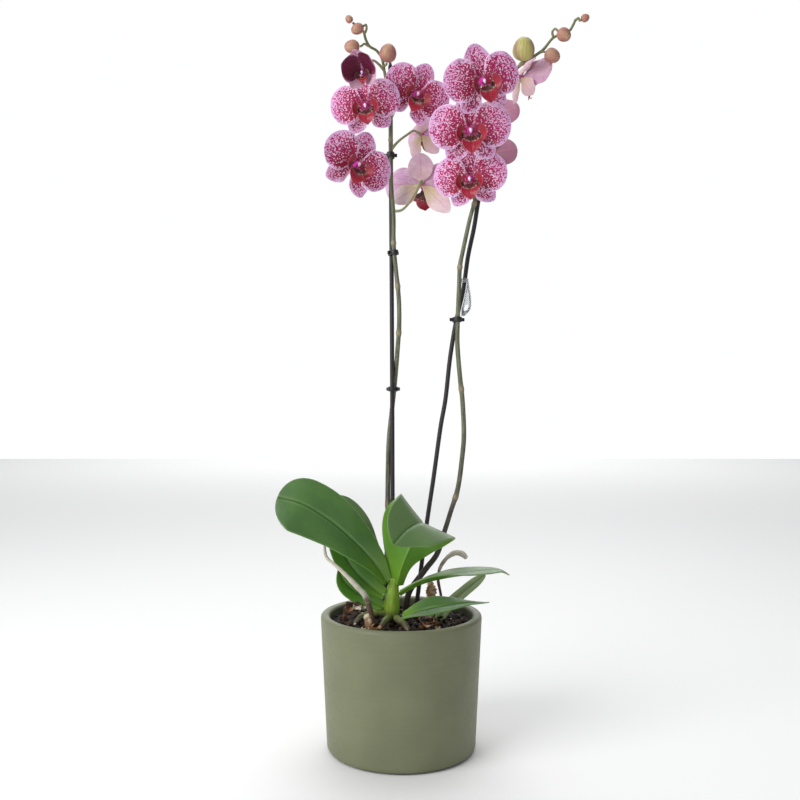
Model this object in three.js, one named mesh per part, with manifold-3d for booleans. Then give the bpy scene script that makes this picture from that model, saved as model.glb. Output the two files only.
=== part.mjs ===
// A moth orchid with two flower spikes, standing in a smooth round ceramic pot.
// Millimetres, +Z up. The origin is the centre of the pot's flat underside, and -Y is the front.
import * as THREE from "three";
import { mergeVertices } from "three/addons/utils/BufferGeometryUtils.js";
import Module from "manifold-3d";

const wasm = await Module();
wasm.setup();

// Driving dimensions of the pot and its filling
const POT_HEIGHT = 120;
const POT_RIM_RADIUS = 72.3;
const POT_BASE_RADIUS = 66.4;
const POT_WALL = 8.4;
const POT_FLOOR = 9;
const RIM_CREST_RADIUS = 68.4;
const RIM_ROUND = 4;
const FOOT_ROUND = 5;
const MIX_BELOW_RIM = 8;
const POT_SIDES = 32;
const CLEARANCE = 0.3;
const EASING = 0.15;
const CHIP_COUNT = 15;
const CHIP_SIZE = 10;
const CHIP_SIDES = 5;
const GOLDEN_ANGLE = Math.PI * (3 - Math.sqrt(5));

// Driving dimensions of the plant
const CROWN = { x: -8, y: -4, top: 152, foot: 96, radius: 7.2 };
const SURFACE_ROOT_RADII = [3.6, 3, 2.6];
const LEAF_THICKNESS = 2.2;
const LEAF_EDGE = 1;
const STEM_RADIUS = 2.2;
const STEM_TIP_RADIUS = 1.1;
const RING_HEIGHT = 4;
const RING_RISE = 0.6;
const PEDICEL_RADIUS = 1.2;
const OVARY_RADIUS = 1.7;
const STAKE_RADIUS = 2;
const STAKE_FOOT = 24;
const SHEATH_THICKNESS = 0.9;
const CLIP_HEIGHT = 4.5;
const CLIP_WALL = 1;

// Driving dimensions of an open flower of size 1
const PETAL = { length: 36, half: 19.5, angle: 78, closedAngle: 62 };
const DORSAL = { length: 33, half: 12.5 };
const LATERAL = { length: 30, half: 10.3, angle: 139 };
const TEPAL_THICKNESS = 0.9;
const TEPAL_ROOT = 2;
const HUB_RADIUS = 3;
const COLUMN_LENGTH = 9.5;
const COLUMN_FOOT = { y: -4.4, z: -4, radius: 1.4 };
const LIP_GAP = 0.35;
const LIP_SHRINK = 0.36;

const MIX_TOP = POT_HEIGHT - MIX_BELOW_RIM;
const SHADES = {
  glaze: [0x7f8467, 0.55],
  bark: [0x2b1c14, 0.95],
  crown: [0x8fae45, 0.5],
  leaf: [0x3f7d2f, 0.4],
  root: [0xb9b3a2, 0.7],
  sheath: [0xa0784c, 0.85],
  stem: [0x5a6140, 0.6],
  stake: [0x2f2427, 0.6],
  clip: [0x1b1a1c, 0.5],
  clear: [0xdfe3e4, 0.2],
  bud: [0xc39a7c, 0.6],
  greenBud: [0xa8ad5a, 0.6],
  tepal: [0xc25f98, 0.6],
  lip: [0xa3163a, 0.5],
};

const at = (x, y, z) => new THREE.Vector3(x, y, z);
const points = (list) => list.map((p) => at(...p));
const degrees = (angle) => (angle * Math.PI) / 180;

// A repeatable draw between 0 and 1.
function drawer(seed) {
  let state = seed;
  return () => {
    state = (state * 16807) % 2147483647;
    return state / 2147483647;
  };
}

// The value of a smooth curve through evenly spaced numbers, at t from 0 to 1.
function along(values, t) {
  if (!Array.isArray(values)) return values;
  const knots = values.map((value, i) => new THREE.Vector2(i, value));
  return new THREE.SplineCurve(knots).getPoint(t).y;
}

// Evenly spaced numbers from 0 to 1.
function evenly(steps) {
  return Array.from({ length: steps + 1 }, (_, i) => i / steps);
}

// The direction between evenly spaced directions, at t from 0 to 1.
function turned(directions, t) {
  const place = t * (directions.length - 1);
  const first = Math.min(Math.floor(place), directions.length - 2);
  const from = at(...directions[first]);
  return from.lerp(at(...directions[first + 1]), place - first).normalize();
}

function geometryFrom(positions, faces) {
  const geometry = new THREE.BufferGeometry();
  geometry.setAttribute("position", new THREE.Float32BufferAttribute(positions, 3));
  geometry.setIndex(faces);
  return geometry;
}

function solidOf(geometry) {
  const bare = geometry.clone();
  bare.deleteAttribute("normal");
  bare.deleteAttribute("uv");
  const merged = mergeVertices(bare, 1e-3);
  return new wasm.Manifold(
    new wasm.Mesh({
      numProp: 3,
      vertProperties: new Float32Array(merged.attributes.position.array),
      triVerts: new Uint32Array(merged.index.array),
    }),
  );
}

function geometryOf(solid) {
  const mesh = solid.getMesh();
  return geometryFrom(Array.from(mesh.vertProperties), Array.from(mesh.triVerts));
}

function joined(geometries) {
  const solids = geometries.map(solidOf);
  return geometryOf(solids.reduce((whole, next) => whole.add(next)));
}

function cut(geometry, tools) {
  let solid = solidOf(geometry);
  for (const tool of tools) solid = solid.subtract(solidOf(tool));
  return geometryOf(solid);
}

// A closed round bar along a smooth line, with a radius that changes along it.
function bar({ line, radius, sides = 8, steps = 24, stops = evenly(steps) }) {
  const curve = new THREE.CatmullRomCurve3(points(line));
  const positions = [];
  const faces = [];
  const across = at(0.31, 0.89, 0.33);
  for (const t of stops) {
    const centre = curve.getPoint(t);
    const ahead = curve.getTangent(t);
    across.addScaledVector(ahead, -across.dot(ahead)).normalize();
    const beside = ahead.clone().cross(across);
    const r = typeof radius === "function" ? radius(centre, t) : along(radius, t);
    for (let j = 0; j < sides; j++) {
      const turn = (2 * Math.PI * j) / sides;
      const rim = centre.clone().addScaledVector(across, r * Math.cos(turn));
      rim.addScaledVector(beside, r * Math.sin(turn));
      positions.push(rim.x, rim.y, rim.z);
    }
  }
  const foot = positions.length / 3;
  const last = stops.length - 1;
  for (const t of [0, 1]) positions.push(...curve.getPoint(t).toArray());
  for (let j = 0; j < sides; j++) {
    const next = (j + 1) % sides;
    for (let i = 0; i < last; i++) {
      const [a, b] = [i * sides + j, i * sides + next];
      const [c, d] = [b + sides, a + sides];
      faces.push(a, b, c, a, c, d);
    }
    faces.push(foot, next, j);
    faces.push(foot + 1, last * sides + j, last * sides + next);
  }
  return geometryFrom(positions, faces);
}

// A closed blade along a smooth line: it faces where it is told, and has a width, a fold and a cup.
function blade(form) {
  const { line, faces: facing, half, fold = 0, cup = 0, across = 4, steps = 8 } = form;
  const { thickness = LEAF_THICKNESS, edge = LEAF_EDGE } = form;
  const curve = new THREE.CatmullRomCurve3(points(line));
  const width = across + 1;
  const layer = width * (steps + 1);
  const upper = [];
  const lower = [];
  for (let i = 0; i <= steps; i++) {
    const t = i / steps;
    const centre = curve.getPointAt(t);
    const ahead = curve.getTangentAt(t);
    const side = ahead.clone().cross(turned(facing, t)).normalize();
    const out = side.clone().cross(ahead).normalize();
    for (let j = 0; j <= across; j++) {
      const s = (2 * j) / across - 1;
      const reach = along(s < 0 && form.halfLeft ? form.halfLeft : half, t);
      const lift = reach * (along(fold, t) * Math.abs(s) + along(cup, t) * s * s);
      const body = edge + (thickness - edge) * (1 - s * s);
      const middle = centre.clone().addScaledVector(side, s * reach);
      upper.push(...middle.clone().addScaledVector(out, lift + body / 2).toArray());
      lower.push(...middle.clone().addScaledVector(out, lift - body / 2).toArray());
    }
  }
  const faces = [];
  const quad = (a, b, c, d) => faces.push(a, b, c, a, c, d);
  for (let i = 0; i < steps; i++) {
    for (let j = 0; j < across; j++) {
      const a = i * width + j;
      quad(a, a + 1, a + width + 1, a + width);
      faces.push(a + layer, a + layer + width + 1, a + layer + 1);
      faces.push(a + layer, a + layer + width, a + layer + width + 1);
    }
    const left = i * width;
    const right = left + across;
    quad(right, right + layer, right + layer + width, right + width);
    quad(left, left + width, left + layer + width, left + layer);
  }
  for (let j = 0; j < across; j++) {
    const tip = steps * width + j;
    quad(j, j + layer, j + layer + 1, j + 1);
    quad(tip, tip + 1, tip + layer + 1, tip + layer);
  }
  return geometryFrom([...upper, ...lower], faces);
}

// A closed egg from a foot point along a direction.
function egg({ foot, towards, length, radius, sides = 7, rings = 4 }) {
  const profile = [];
  for (let i = 0; i <= rings; i++) {
    const turn = (Math.PI * i) / rings;
    const fat = radius * Math.sin(turn) * (1 + 0.12 * Math.cos(turn));
    profile.push(new THREE.Vector2(Math.abs(fat), (length * (1 - Math.cos(turn))) / 2));
  }
  const geometry = new THREE.LatheGeometry(profile, sides);
  const aim = new THREE.Quaternion();
  aim.setFromUnitVectors(at(0, 1, 0), at(...towards).normalize());
  return geometry.applyQuaternion(aim).translate(...foot);
}

// Pot and filling
function potGeometry() {
  const slope = (POT_RIM_RADIUS - POT_BASE_RADIUS) / POT_HEIGHT;
  const outside = (z) => POT_BASE_RADIUS + slope * z;
  const section = new THREE.Shape();
  const inner = outside(POT_HEIGHT) - POT_WALL;
  const innerFloor = outside(POT_FLOOR) - POT_WALL;
  section.moveTo(0, 0);
  section.lineTo(outside(0) - FOOT_ROUND, 0);
  section.quadraticCurveTo(outside(0), 0, outside(FOOT_ROUND), FOOT_ROUND);
  section.lineTo(outside(POT_HEIGHT - RIM_ROUND), POT_HEIGHT - RIM_ROUND);
  section.quadraticCurveTo(outside(POT_HEIGHT), POT_HEIGHT, RIM_CREST_RADIUS, POT_HEIGHT);
  section.quadraticCurveTo(inner, POT_HEIGHT, inner, POT_HEIGHT - RIM_ROUND);
  section.lineTo(innerFloor, POT_FLOOR);
  section.lineTo(0, POT_FLOOR);
  const profile = section.extractPoints(2).shape;
  return new THREE.LatheGeometry(profile, POT_SIDES).rotateX(Math.PI / 2);
}

function mixGeometry(holes) {
  const slope = (POT_RIM_RADIUS - POT_BASE_RADIUS) / POT_HEIGHT;
  const inside = (z) => POT_BASE_RADIUS + slope * z - POT_WALL - CLEARANCE;
  const foot = POT_FLOOR + CLEARANCE;
  const body = new THREE.CylinderGeometry(inside(MIX_TOP), inside(foot), MIX_TOP - foot, POT_SIDES);
  body.rotateX(Math.PI / 2).translate(0, 0, (MIX_TOP + foot) / 2);
  const draw = drawer(77);
  const chips = [];
  const most = inside(MIX_TOP) - CHIP_SIZE;
  for (let i = 0; i < CHIP_COUNT; i++) {
    const turn = i * GOLDEN_ANGLE;
    const reach = most * Math.sqrt((i + 0.5) / CHIP_COUNT);
    const size = CHIP_SIZE * (0.7 + 0.6 * draw());
    const chip = new THREE.CylinderGeometry(size * 0.35, size * 0.55, size * 0.8, CHIP_SIDES);
    chip.rotateX(Math.PI / 2 + draw() - 0.5).rotateZ(6 * draw()).rotateY(draw() - 0.5);
    chip.translate(reach * Math.cos(turn), reach * Math.sin(turn), MIX_TOP + 2.4 * draw() - 0.6);
    chips.push(chip);
  }
  return cut(joined([body, ...chips]), holes);
}

// The short stem of the plant, the roots that leave it along the mix, and two roots in the air
const CROWN_LINE = [
  [CROWN.x, CROWN.y, CROWN.foot],
  [CROWN.x - 0.5, CROWN.y, 118],
  [CROWN.x, CROWN.y, 135],
  [CROWN.x + 1.5, CROWN.y - 1, CROWN.top],
];
const SURFACE_ROOTS = [
  [[-10, -6, 118], [-12, -16, 118], [-16, -27, 116], [-20, -36, 107]],
  [[-6, -7, 117], [-2, -18, 117], [4, -28, 115], [8, -37, 106]],
  [[-13, -2, 119], [-24, -3, 120], [-36, -8, 117], [-46, -10, 106]],
  [[-13, -1, 118], [-22, 12, 118], [-26, 26, 116], [-30, 36, 106]],
];
const AERIAL_ROOTS = {
  aerial_root_left: {
    line: [[-25, -19, 101], [-27, -20, 124], [-32, -22, 140], [-39, -23, 148], [-49, -22, 158],
      [-58, -20, 166], [-66, -18, 173], [-68, -15, 185]],
    radius: [2.6, 2.6, 2.5, 2.2, 1.6, 1.4, 1.2],
  },
  aerial_root_right: {
    line: [[38, 24, 100], [37, 23, 128], [34, 21, 146], [36, 19, 157], [43, 17, 167], [50, 15, 171],
      [56, 14, 170], [60, 13, 166]],
    radius: [1.3, 1.3, 1.4, 1.8, 2.4, 2.7, 2.2],
  },
};

function crownGeometry(grow = 0) {
  const rootRadius = SURFACE_ROOT_RADII.map((value) => value + grow);
  const stemRadius = [0.97, 1, 0.89, 0.55].map((share) => share * CROWN.radius + grow);
  const stem = bar({ line: CROWN_LINE, radius: stemRadius, sides: 8, steps: 5 });
  const roots = SURFACE_ROOTS.map((line) => bar({ line, radius: rootRadius, sides: 5, steps: 4 }));
  return joined([stem, ...roots]);
}

// Leaves: line, facing directions, half widths from base to tip
const LEAVES = {
  leaf_1: {
    line: [[-13.5, -8.5, 149], [-24, -13, 166], [-41, -18, 185], [-62, -21, 204], [-88, -22, 220],
      [-109, -20, 225.5]],
    faces: [[0.6, -0.75, 0.4], [0.3, -0.9, 0.5], [0, -0.9, 0.55], [-0.1, -0.85, 0.5]],
    half: [5, 11, 16, 19.5, 21.5, 20, 7],
    halfLeft: [5, 11, 17, 22, 26, 27, 13],
    fold: [0.5, 0.3, 0.14, 0.06],
    steps: 10,
  },
  leaf_2: {
    line: [[-14, -1, 146], [-25, 8, 166], [-37, 15, 190], [-49, 19, 210], [-58, 20, 223]],
    faces: [[0.6, -0.75, 0.3], [0.5, -0.85, 0.3], [0.4, -0.9, 0.3]],
    half: [4, 7, 9.5, 11.5, 10.5, 5],
    halfLeft: [4, 8, 12, 15, 13, 5],
    fold: [0.5, 0.3, 0.1],
    steps: 7,
  },
  leaf_3: {
    line: [[-4, -8.5, 146], [1, -17, 166], [9, -27, 186], [19, -41, 203], [14, -60, 208],
      [3, -74, 204], [-7, -85, 194.5]],
    faces: [[0.2, 0.9, 0.4], [0.35, 0.8, 0.42], [0.5, 0.25, 0.8], [0.54, -0.45, 0.7],
      [0.55, -0.6, 0.6]],
    half: [6, 17, 28, 33, 30, 21, 5],
    halfLeft: [5, 11, 24, 28, 27, 20, 5],
    fold: [0.6, 0.35, 0.2, 0.1],
    steps: 11,
  },
  leaf_4: {
    line: [[-16, -8, 136], [-28, -8, 145], [-40, -7, 156], [-49, -4, 168], [-56, 0, 184],
      [-63, 5, 197]],
    faces: [[0.3, -0.85, 0.5], [0.1, -0.9, 0.5], [0, -0.9, 0.4]],
    half: [6, 11, 15, 16, 13, 4],
    halfLeft: [4, 7, 10, 11, 9, 4],
    fold: [0.4, 0.3, 0.2],
    steps: 7,
  },
  leaf_5: {
    line: [[-16, 0, 124], [-30, 3, 130], [-43, 4, 138], [-52, 3, 147], [-57, 2, 158]],
    faces: [[0.1, -0.8, 0.6], [0.2, -0.9, 0.5], [0.3, -0.9, 0.3]],
    half: [4, 7, 9, 8, 2],
    fold: [0.5, 0.3, 0.2],
    steps: 6,
  },
  leaf_6: {
    line: [[-1, -9, 138], [9, -13, 145], [22, -16, 151], [38, -17, 155], [57, -17, 158],
      [74, -16, 160], [88, -14, 160], [96, -13, 156]],
    faces: [[-0.4, 0.1, 0.9], [-0.2, 0, 1], [0, -0.02, 1], [0.05, 0, 1]],
    half: [4, 5, 8, 12, 14, 12, 4],
    fold: [0.6, 0.4, 0.1, 0.02],
    steps: 10,
  },
  leaf_7: {
    line: [[1, -12, 118], [9, -18, 122], [20, -25, 127], [36, -30, 131.5], [56, -33, 135],
      [76, -34, 136.5]],
    faces: [[-0.2, -0.45, 0.85], [0, -0.3, 0.95], [0.1, 0, 1]],
    half: [5, 12, 14, 10, 5, 2],
    fold: [0.4, 0.2, 0.05],
    steps: 9,
  },
  leaf_8: {
    line: [[31, 4, 102], [37, 7, 116], [46, 12, 126], [58, 18, 135], [78, 25, 149.5]],
    faces: [[-0.3, -0.9, 0.3], [-0.3, -0.9, 0.3]],
    half: [5, 6.5, 6.5, 5.5, 1.5],
    fold: [0.3, 0.2, 0.1],
    steps: 6,
  },
};

// Dry sheaths: brown papery curls round the foot of the plant
const SHEATHS = {
  dry_sheath_standing: {
    line: [[25, 9, 104], [26, 9, 122], [27, 8, 138], [25, 7, 152]],
    faces: [[0.2, 0.9, 0], [-0.2, 1, 0.2]],
    half: [2.5, 3.5, 4.5, 2],
    cup: [0.7, 0.9, 0.6],
  },
  dry_sheath_right: {
    line: [[17, -28, 107], [20, -32, 115], [27, -37, 119], [34, -33, 117]],
    faces: [[0.3, 0.9, 0.3], [-0.3, 0.5, 0.8], [-0.6, 0.4, 0.7]],
    half: [2.5, 4, 4.5, 2],
    cup: [0.4, 0.5, 0.3],
  },
  dry_sheath_front: {
    line: [[-27, -30, 107], [-29, -32, 117], [-30, -34, 124], [-26, -37, 119]],
    faces: [[0.3, 0.9, 0], [0.3, 0.9, 0.2], [0.2, 0.2, -0.9]],
    half: [2.5, 4, 3.6, 1.6],
    cup: [0.5, 0.6, 0.4],
  },
  dry_sheath_left: {
    line: [[-52, -4, 107], [-50, -8, 122], [-43, -12, 130], [-34, -13, 129]],
    faces: [[0.6, 0.7, 0.2], [0.6, 0.3, 0.7], [0.2, -0.3, 0.9]],
    half: [1.8, 2.4, 4.5, 2.4],
    cup: [0.4, 0.6, 0.4],
  },
};

// Stems and stakes
const LEFT_STEM = [
  [-13, 13, 98], [-14, 12, 136], [-13, 10, 165], [-12.4, 9, 204], [-12.1, 9, 247],
  [-11.2, 10, 275], [-8.5, 12, 302], [-5.7, 11, 329], [-3.5, 5, 355], [-1.9, 1.5, 380],
  [-2.3, 1, 403], [-4.8, 1, 428], [-6.9, 1, 452], [-6.9, 1, 476], [-8.7, 1, 500],
  [-9.5, 1, 523], [-9.8, 0.5, 552], [-12, 0, 585], [-15.2, -2, 606], [-17.5, -4, 617],
  [-22, -6, 623], [-28.4, -9, 626], [-31.5, -11, 631], [-34, -13, 638], [-43, -17, 643.5],
];
const RIGHT_STEM = [
  [4, 6, 98], [4.2, 5.4, 114], [4.6, 4.8, 126], [7.6, 3, 138.5], [15.5, 2, 150], [23, 1, 160], [32, 1, 172],
  [39.7, 1, 195], [44.6, 0, 211], [50.6, 0, 230], [54.6, 0, 258], [56.3, 0, 278],
  [55, 0, 311], [52.6, -1, 333], [50.4, -1, 362], [50.7, -1, 382], [52, -1, 415],
  [52.8, -1, 432], [55.4, 0, 445], [62, 0, 475], [66, 0, 489], [70.8, 0, 509],
  [77, -2, 535], [83, -5, 560], [90.6, -8, 583], [98.3, -11, 599], [107, -14.5, 609],
  [118.5, -18, 614.7], [124.5, -20.5, 618.5], [132.8, -24, 627.5], [140, -25, 630],
  [146.7, -26, 633], [149.3, -27, 637], [151.6, -28, 642],
];
const LEFT_STAKE = [[-7.6, 6, STAKE_FOOT], [-7.9, 6, 220], [-8.6, 6, 402], [-9.2, 6, 492], [-10, 6, 617]];
const RIGHT_STAKE = [
  [11.5, 9, STAKE_FOOT], [13.5, 9, 120], [15.5, 9, 137], [23.6, 8, 202], [29, 8, 238],
  [35.9, 7, 288], [40, 7, 311], [44.2, 6, 349], [48.8, 5, 378], [51.8, 5, 392], [56.2, 6, 411],
  [60.7, 7, 442], [66, 8, 467], [69.7, 8, 490], [77, 8, 532],
];
const LEFT_NODES = [216, 371, 413, 452, 545];
const RIGHT_NODES = [223, 320.5, 430, 487, 608];

// Clips: height, centre and turn of the band, spread of its two ends, with the ears it carries
const CLIPS = {
  clip_left_low: { place: [-7.4, 8.8, 321], turn: 72, spread: 5.8, ears: 3 },
  clip_left_high: { place: [-7.4, 3.5, 444], turn: 114, spread: 5.6, ears: 2 },
  clip_left_top: { place: [-9.6, 3.5, 532], turn: 88, spread: 5.2, ears: 2.4 },
  clip_right: { place: [50.3, 2, 383.5], turn: 97, spread: 6, ears: 3, slack: 0.35 },
};

// The clear clip: a collar round the right stake, and a flat wing that hangs beside the stake
const CLEAR_COLLAR = { x: 57.35, y: 6.25, low: 417, high: 421, slack: 0.35 };
const CLEAR_WING = [
  [60.4, 418], [62.1, 410], [63.3, 401], [62.6, 393], [57.4, 387], [55, 386.4], [54.5, 392],
  [56.7, 401.5], [58.7, 410.5],
];
const WING_THICKNESS = 1.2;

function clipGeometry({ place, turn, spread, ears, slack = 0 }) {
  const outline = (radius) => {
    const reach = spread / 2;
    const shape = new THREE.Shape();
    shape.absarc(reach, 0, radius, -Math.PI / 2, Math.PI / 2, false);
    shape.absarc(-reach, 0, radius, Math.PI / 2, 1.5 * Math.PI, false);
    shape.closePath();
    return shape;
  };
  const inner = STEM_RADIUS + CLEARANCE + slack;
  const shape = outline(inner + CLIP_WALL);
  shape.holes.push(outline(inner));
  const settings = { depth: CLIP_HEIGHT, bevelEnabled: false, curveSegments: 3 };
  const parts = [new THREE.ExtrudeGeometry(shape, settings)];
  for (const side of [-1, 1]) {
    const ear = new THREE.BoxGeometry(1.2, ears + 0.8, CLIP_HEIGHT * 0.7);
    ear.translate(0, side * (inner + CLIP_WALL - 0.4 + ears / 2), CLIP_HEIGHT / 2);
    parts.push(ear);
  }
  const whole = joined(parts);
  return whole.translate(0, 0, -CLIP_HEIGHT / 2).rotateZ(degrees(turn)).translate(...place);
}

function clearClipGeometry() {
  const { x, y, low, high, slack } = CLEAR_COLLAR;
  const inner = STAKE_RADIUS + CLEARANCE + slack;
  const section = new THREE.Shape();
  section.absarc(0, 0, inner + CLIP_WALL, 0, 2 * Math.PI, false);
  section.holes.push(new THREE.Path().absarc(0, 0, inner, 0, 2 * Math.PI, true));
  const settings = { depth: high - low, bevelEnabled: false, curveSegments: 8 };
  const collar = new THREE.ExtrudeGeometry(section, settings).translate(x, y, low);
  const outline = new THREE.Shape(CLEAR_WING.map(([px, pz]) => new THREE.Vector2(px, pz)));
  const wing = new THREE.ExtrudeGeometry(outline, { depth: WING_THICKNESS, bevelEnabled: false });
  wing.rotateX(Math.PI / 2).translate(0, y + WING_THICKNESS / 2, 0);
  return joined([collar, wing]);
}

// Flowers: place of the hub, turn to the right, nod, roll to the right, size, and how far it is open
const FLOWERS = {
  bloom_a1: { hub: [-32, -42, 590], turn: -14, nod: 10, roll: -12, size: 0.7, closed: 1 },
  bloom_a2: { hub: [-31, -22, 568.5], turn: -4, nod: 12, roll: -10, size: 0.83, closed: 0 },
  bloom_a3: { hub: [-40, -24, 516.5], turn: 26, nod: 10, roll: 24, size: 0.9, closed: 0 },
  bloom_a4: { hub: [12.5, -16, 580.5], turn: 16, nod: 12, roll: 23, size: 0.84, closed: 0 },
  bloom_a5: { hub: [19, 14, 508], turn: 172, nod: 14, roll: 6, size: 0.94, closed: 0.15,
    laterals: [[143, 38], [116, 31]] },
  bloom_a6: { hub: [19, 20, 555], turn: 150, nod: 4, roll: 0, size: 0.72, closed: 0.55 },
  bloom_b1: { hub: [67, -55, 578], turn: 14, nod: 12, roll: -15, size: 0.9, closed: 0 },
  bloom_b2: { hub: [59, -36, 542.5], turn: 0, nod: 12, roll: -3, size: 0.95, closed: 0 },
  bloom_b3: { hub: [61.5, -15, 506.5], turn: -13, nod: 12, roll: -5, size: 0.88, closed: 0 },
  bloom_b4: { hub: [108, -3, 600], turn: 118, nod: 14, roll: 0, size: 0.78, closed: 0.45 },
  bloom_b5: { hub: [85, 18, 574], turn: 158, nod: 8, roll: 0, size: 0.64, closed: 0.3 },
  bloom_b6: { hub: [81, 17, 537], turn: 165, nod: 8, roll: 0, size: 0.7, closed: 0.3 },
};

// Flower stalks: the route from the spike to the back of the flower
const STALKS = {
  bloom_a1: [[-15.2, -2, 606.5], [-20, -14, 608], [-26, -30, 605]],
  bloom_a2: [[-11.5, 0, 583], [-17, -4, 581], [-27, -8, 572]],
  bloom_a3: [[-9.3, 1, 520], [-18, -1, 528], [-33, -9, 525]],
  bloom_a4: [[-9.9, 0, 563], [-4, 0, 574], [9, -2, 584]],
  bloom_a5: [[-7, 1, 481], [0, 1, 482], [8, 2, 490], [14, 4, 500]],
  bloom_a6: [[-9.5, 1, 536], [-3, 2, 544], [6, 6, 552], [11, 9, 556]],
  bloom_b1: [[90.6, -8, 583], [86, -16, 590], [75, -32, 590]],
  bloom_b2: [[77, -2, 535], [74, -8, 544], [65, -20, 546]],
  bloom_b3: [[66, 0, 489], [64, 0, 498], [61, -4, 506]],
  bloom_b4: [[107, -14.5, 609], [103, -10, 606], [101, -5, 600]],
  bloom_b5: [[83, -5, 560], [84, 2, 568], [88, 7, 573]],
  bloom_b6: [[70.8, 0, 509], [74, 2, 522], [81, 5, 534]],
};

// Buds: foot, direction, length, radius
const BUDS = {
  bud_a1: { foot: [-43.6, -17.3, 643.8], towards: [-0.6, -0.2, 0.6], length: 7, radius: 3.3 },
  bud_a2: { foot: [-33.5, -22, 638.5], towards: [-0.85, -0.1, -0.45], length: 11.5, radius: 4.8 },
  bud_a3: { foot: [-37, -14, 624], towards: [-0.95, -0.1, -0.1], length: 13.5, radius: 5.9 },
  bud_a4: { foot: [-13, -10, 611], towards: [0.15, -0.3, 0.95], length: 16, radius: 7.6 },
  bud_b1: { foot: [106.5, -22.5, 607.5], towards: [0.02, -0.3, 0.95], length: 22, radius: 9.2 },
  bud_b2: { foot: [136, -31, 630.5], towards: [0.7, -0.25, -0.6], length: 12.5, radius: 5.9 },
  bud_b3: { foot: [126, -22, 615.5], towards: [0.85, -0.1, -0.45], length: 14, radius: 6.3 },
  bud_b4: { foot: [156.5, -28, 641.5], towards: [0.7, 0, 0.35], length: 7.5, radius: 3.5 },
};
const BUD_STALKS = {
  bud_a2: [[-33, -12, 635], [-30.8, -15, 638.5], [-31, -20, 640.5]],
  bud_a3: [[-29, -9, 626], [-33, -11.5, 627]],
  bud_a4: [[-16, -2.5, 610], [-15, -7, 609]],
  bud_b1: [[108.5, -15, 609.5], [107, -19, 606]],
  bud_b2: [[132.8, -24, 627.5], [131.5, -27, 631.5], [133.5, -30, 633]],
  bud_b3: [[121.5, -19.3, 616.6], [123.5, -21, 616.2]],
  bud_b4: [[151.4, -28, 641], [154, -28, 643]],
};

// The point that a flower's own point takes in the plant.
function placer({ hub, turn, nod, roll, size }) {
  const matrix = new THREE.Matrix4().makeRotationZ(degrees(turn));
  matrix.multiply(new THREE.Matrix4().makeRotationX(degrees(nod)));
  matrix.multiply(new THREE.Matrix4().makeRotationY(degrees(roll)));
  matrix.scale(at(size, size, size));
  return matrix.setPosition(...hub);
}

// A petal's middle line: it leaves the hub at an angle from up, and its slope to the front changes.
function petalLine(angle, length, rise, behind) {
  const count = 6;
  const place = at(0, behind, 0);
  const out = at(Math.sin(degrees(angle)), 0, Math.cos(degrees(angle)));
  place.addScaledVector(out, TEPAL_ROOT);
  const line = [place.toArray()];
  for (let i = 0; i < count; i++) {
    const slope = degrees(rise[0] + ((rise[1] - rise[0]) * (i + 0.5)) / count);
    place.addScaledVector(out, (Math.cos(slope) * length) / count);
    place.y -= (Math.sin(slope) * length) / count;
    line.push(place.toArray());
  }
  return line;
}

function tepal({ angle, length, half, rise, behind, across, steps, cup }) {
  const first = degrees(rise[0]);
  const last = degrees(rise[1]);
  const out = at(Math.sin(degrees(angle)), 0, Math.cos(degrees(angle)));
  const face = (slope) => {
    const direction = out.clone().multiplyScalar(-Math.sin(slope));
    direction.y = -Math.cos(slope);
    return direction.toArray();
  };
  return blade({
    line: petalLine(angle, length, rise, behind),
    faces: [face(first), face((first + last) / 2), face(last)],
    half,
    cup,
    across,
    steps,
    thickness: TEPAL_THICKNESS,
    edge: TEPAL_THICKNESS,
  });
}

function bloomGeometry(flower) {
  const { closed } = flower;
  const mix = (open, shut) => open + (shut - open) * closed;
  const bend = (open, shut) => [mix(open[0], shut[0]), mix(open[1], shut[1])];
  const slim = mix(1, 0.86);
  const same = [LATERAL.angle, LATERAL.length];
  const laterals = flower.laterals ?? [same, same];
  const broad = (half) => [0.08, 0.86, 1, 0.9, 0.26].map((part) => part * half * slim);
  const oval = (half) => [0.12, 0.82, 1, 0.76, 0.14].map((part) => part * half * slim);
  const spoon = (half) => [0.12, 0.55, 1, 0.8, 0.14].map((part) => part * half * slim);
  const parts = [];
  for (const side of [-1, 1]) {
    const [lean, reach] = laterals[side > 0 ? 1 : 0];
    parts.push(
      tepal({
        angle: side * mix(PETAL.angle, PETAL.closedAngle),
        length: PETAL.length,
        half: broad(PETAL.half),
        rise: bend([14, -12], [30, 84]),
        behind: -0.8,
        across: 3,
        steps: 4,
        cup: mix(0.02, 0.3),
      }),
      tepal({
        angle: side * lean,
        length: reach,
        half: spoon(LATERAL.half),
        rise: bend([2, -8], [22, 68]),
        behind: 1.6,
        across: 2,
        steps: 4,
        cup: mix(0, 0.25),
      }),
    );
  }
  parts.push(
    tepal({
      angle: 0,
      length: DORSAL.length,
      half: oval(DORSAL.half),
      rise: bend([2, -8], [22, 68]),
      behind: 1.6,
      across: 2,
      steps: 4,
      cup: mix(0, 0.25),
    }),
    bar({ line: [[0, HUB_RADIUS, 0], [0, 0, 0], [0, -COLUMN_LENGTH / 2, 1.2],
      [0, -COLUMN_LENGTH, 0.6]], radius: [1.6, HUB_RADIUS, 2.2, 1.8], sides: 6, steps: 5 }),
    bar({ line: [[0, 0, -0.8], [0, -2.6, -2.4], [0, COLUMN_FOOT.y, COLUMN_FOOT.z]],
      radius: COLUMN_FOOT.radius, sides: 4, steps: 1 }),
  );
  return joined(parts).applyMatrix4(placer(flower));
}

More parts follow.
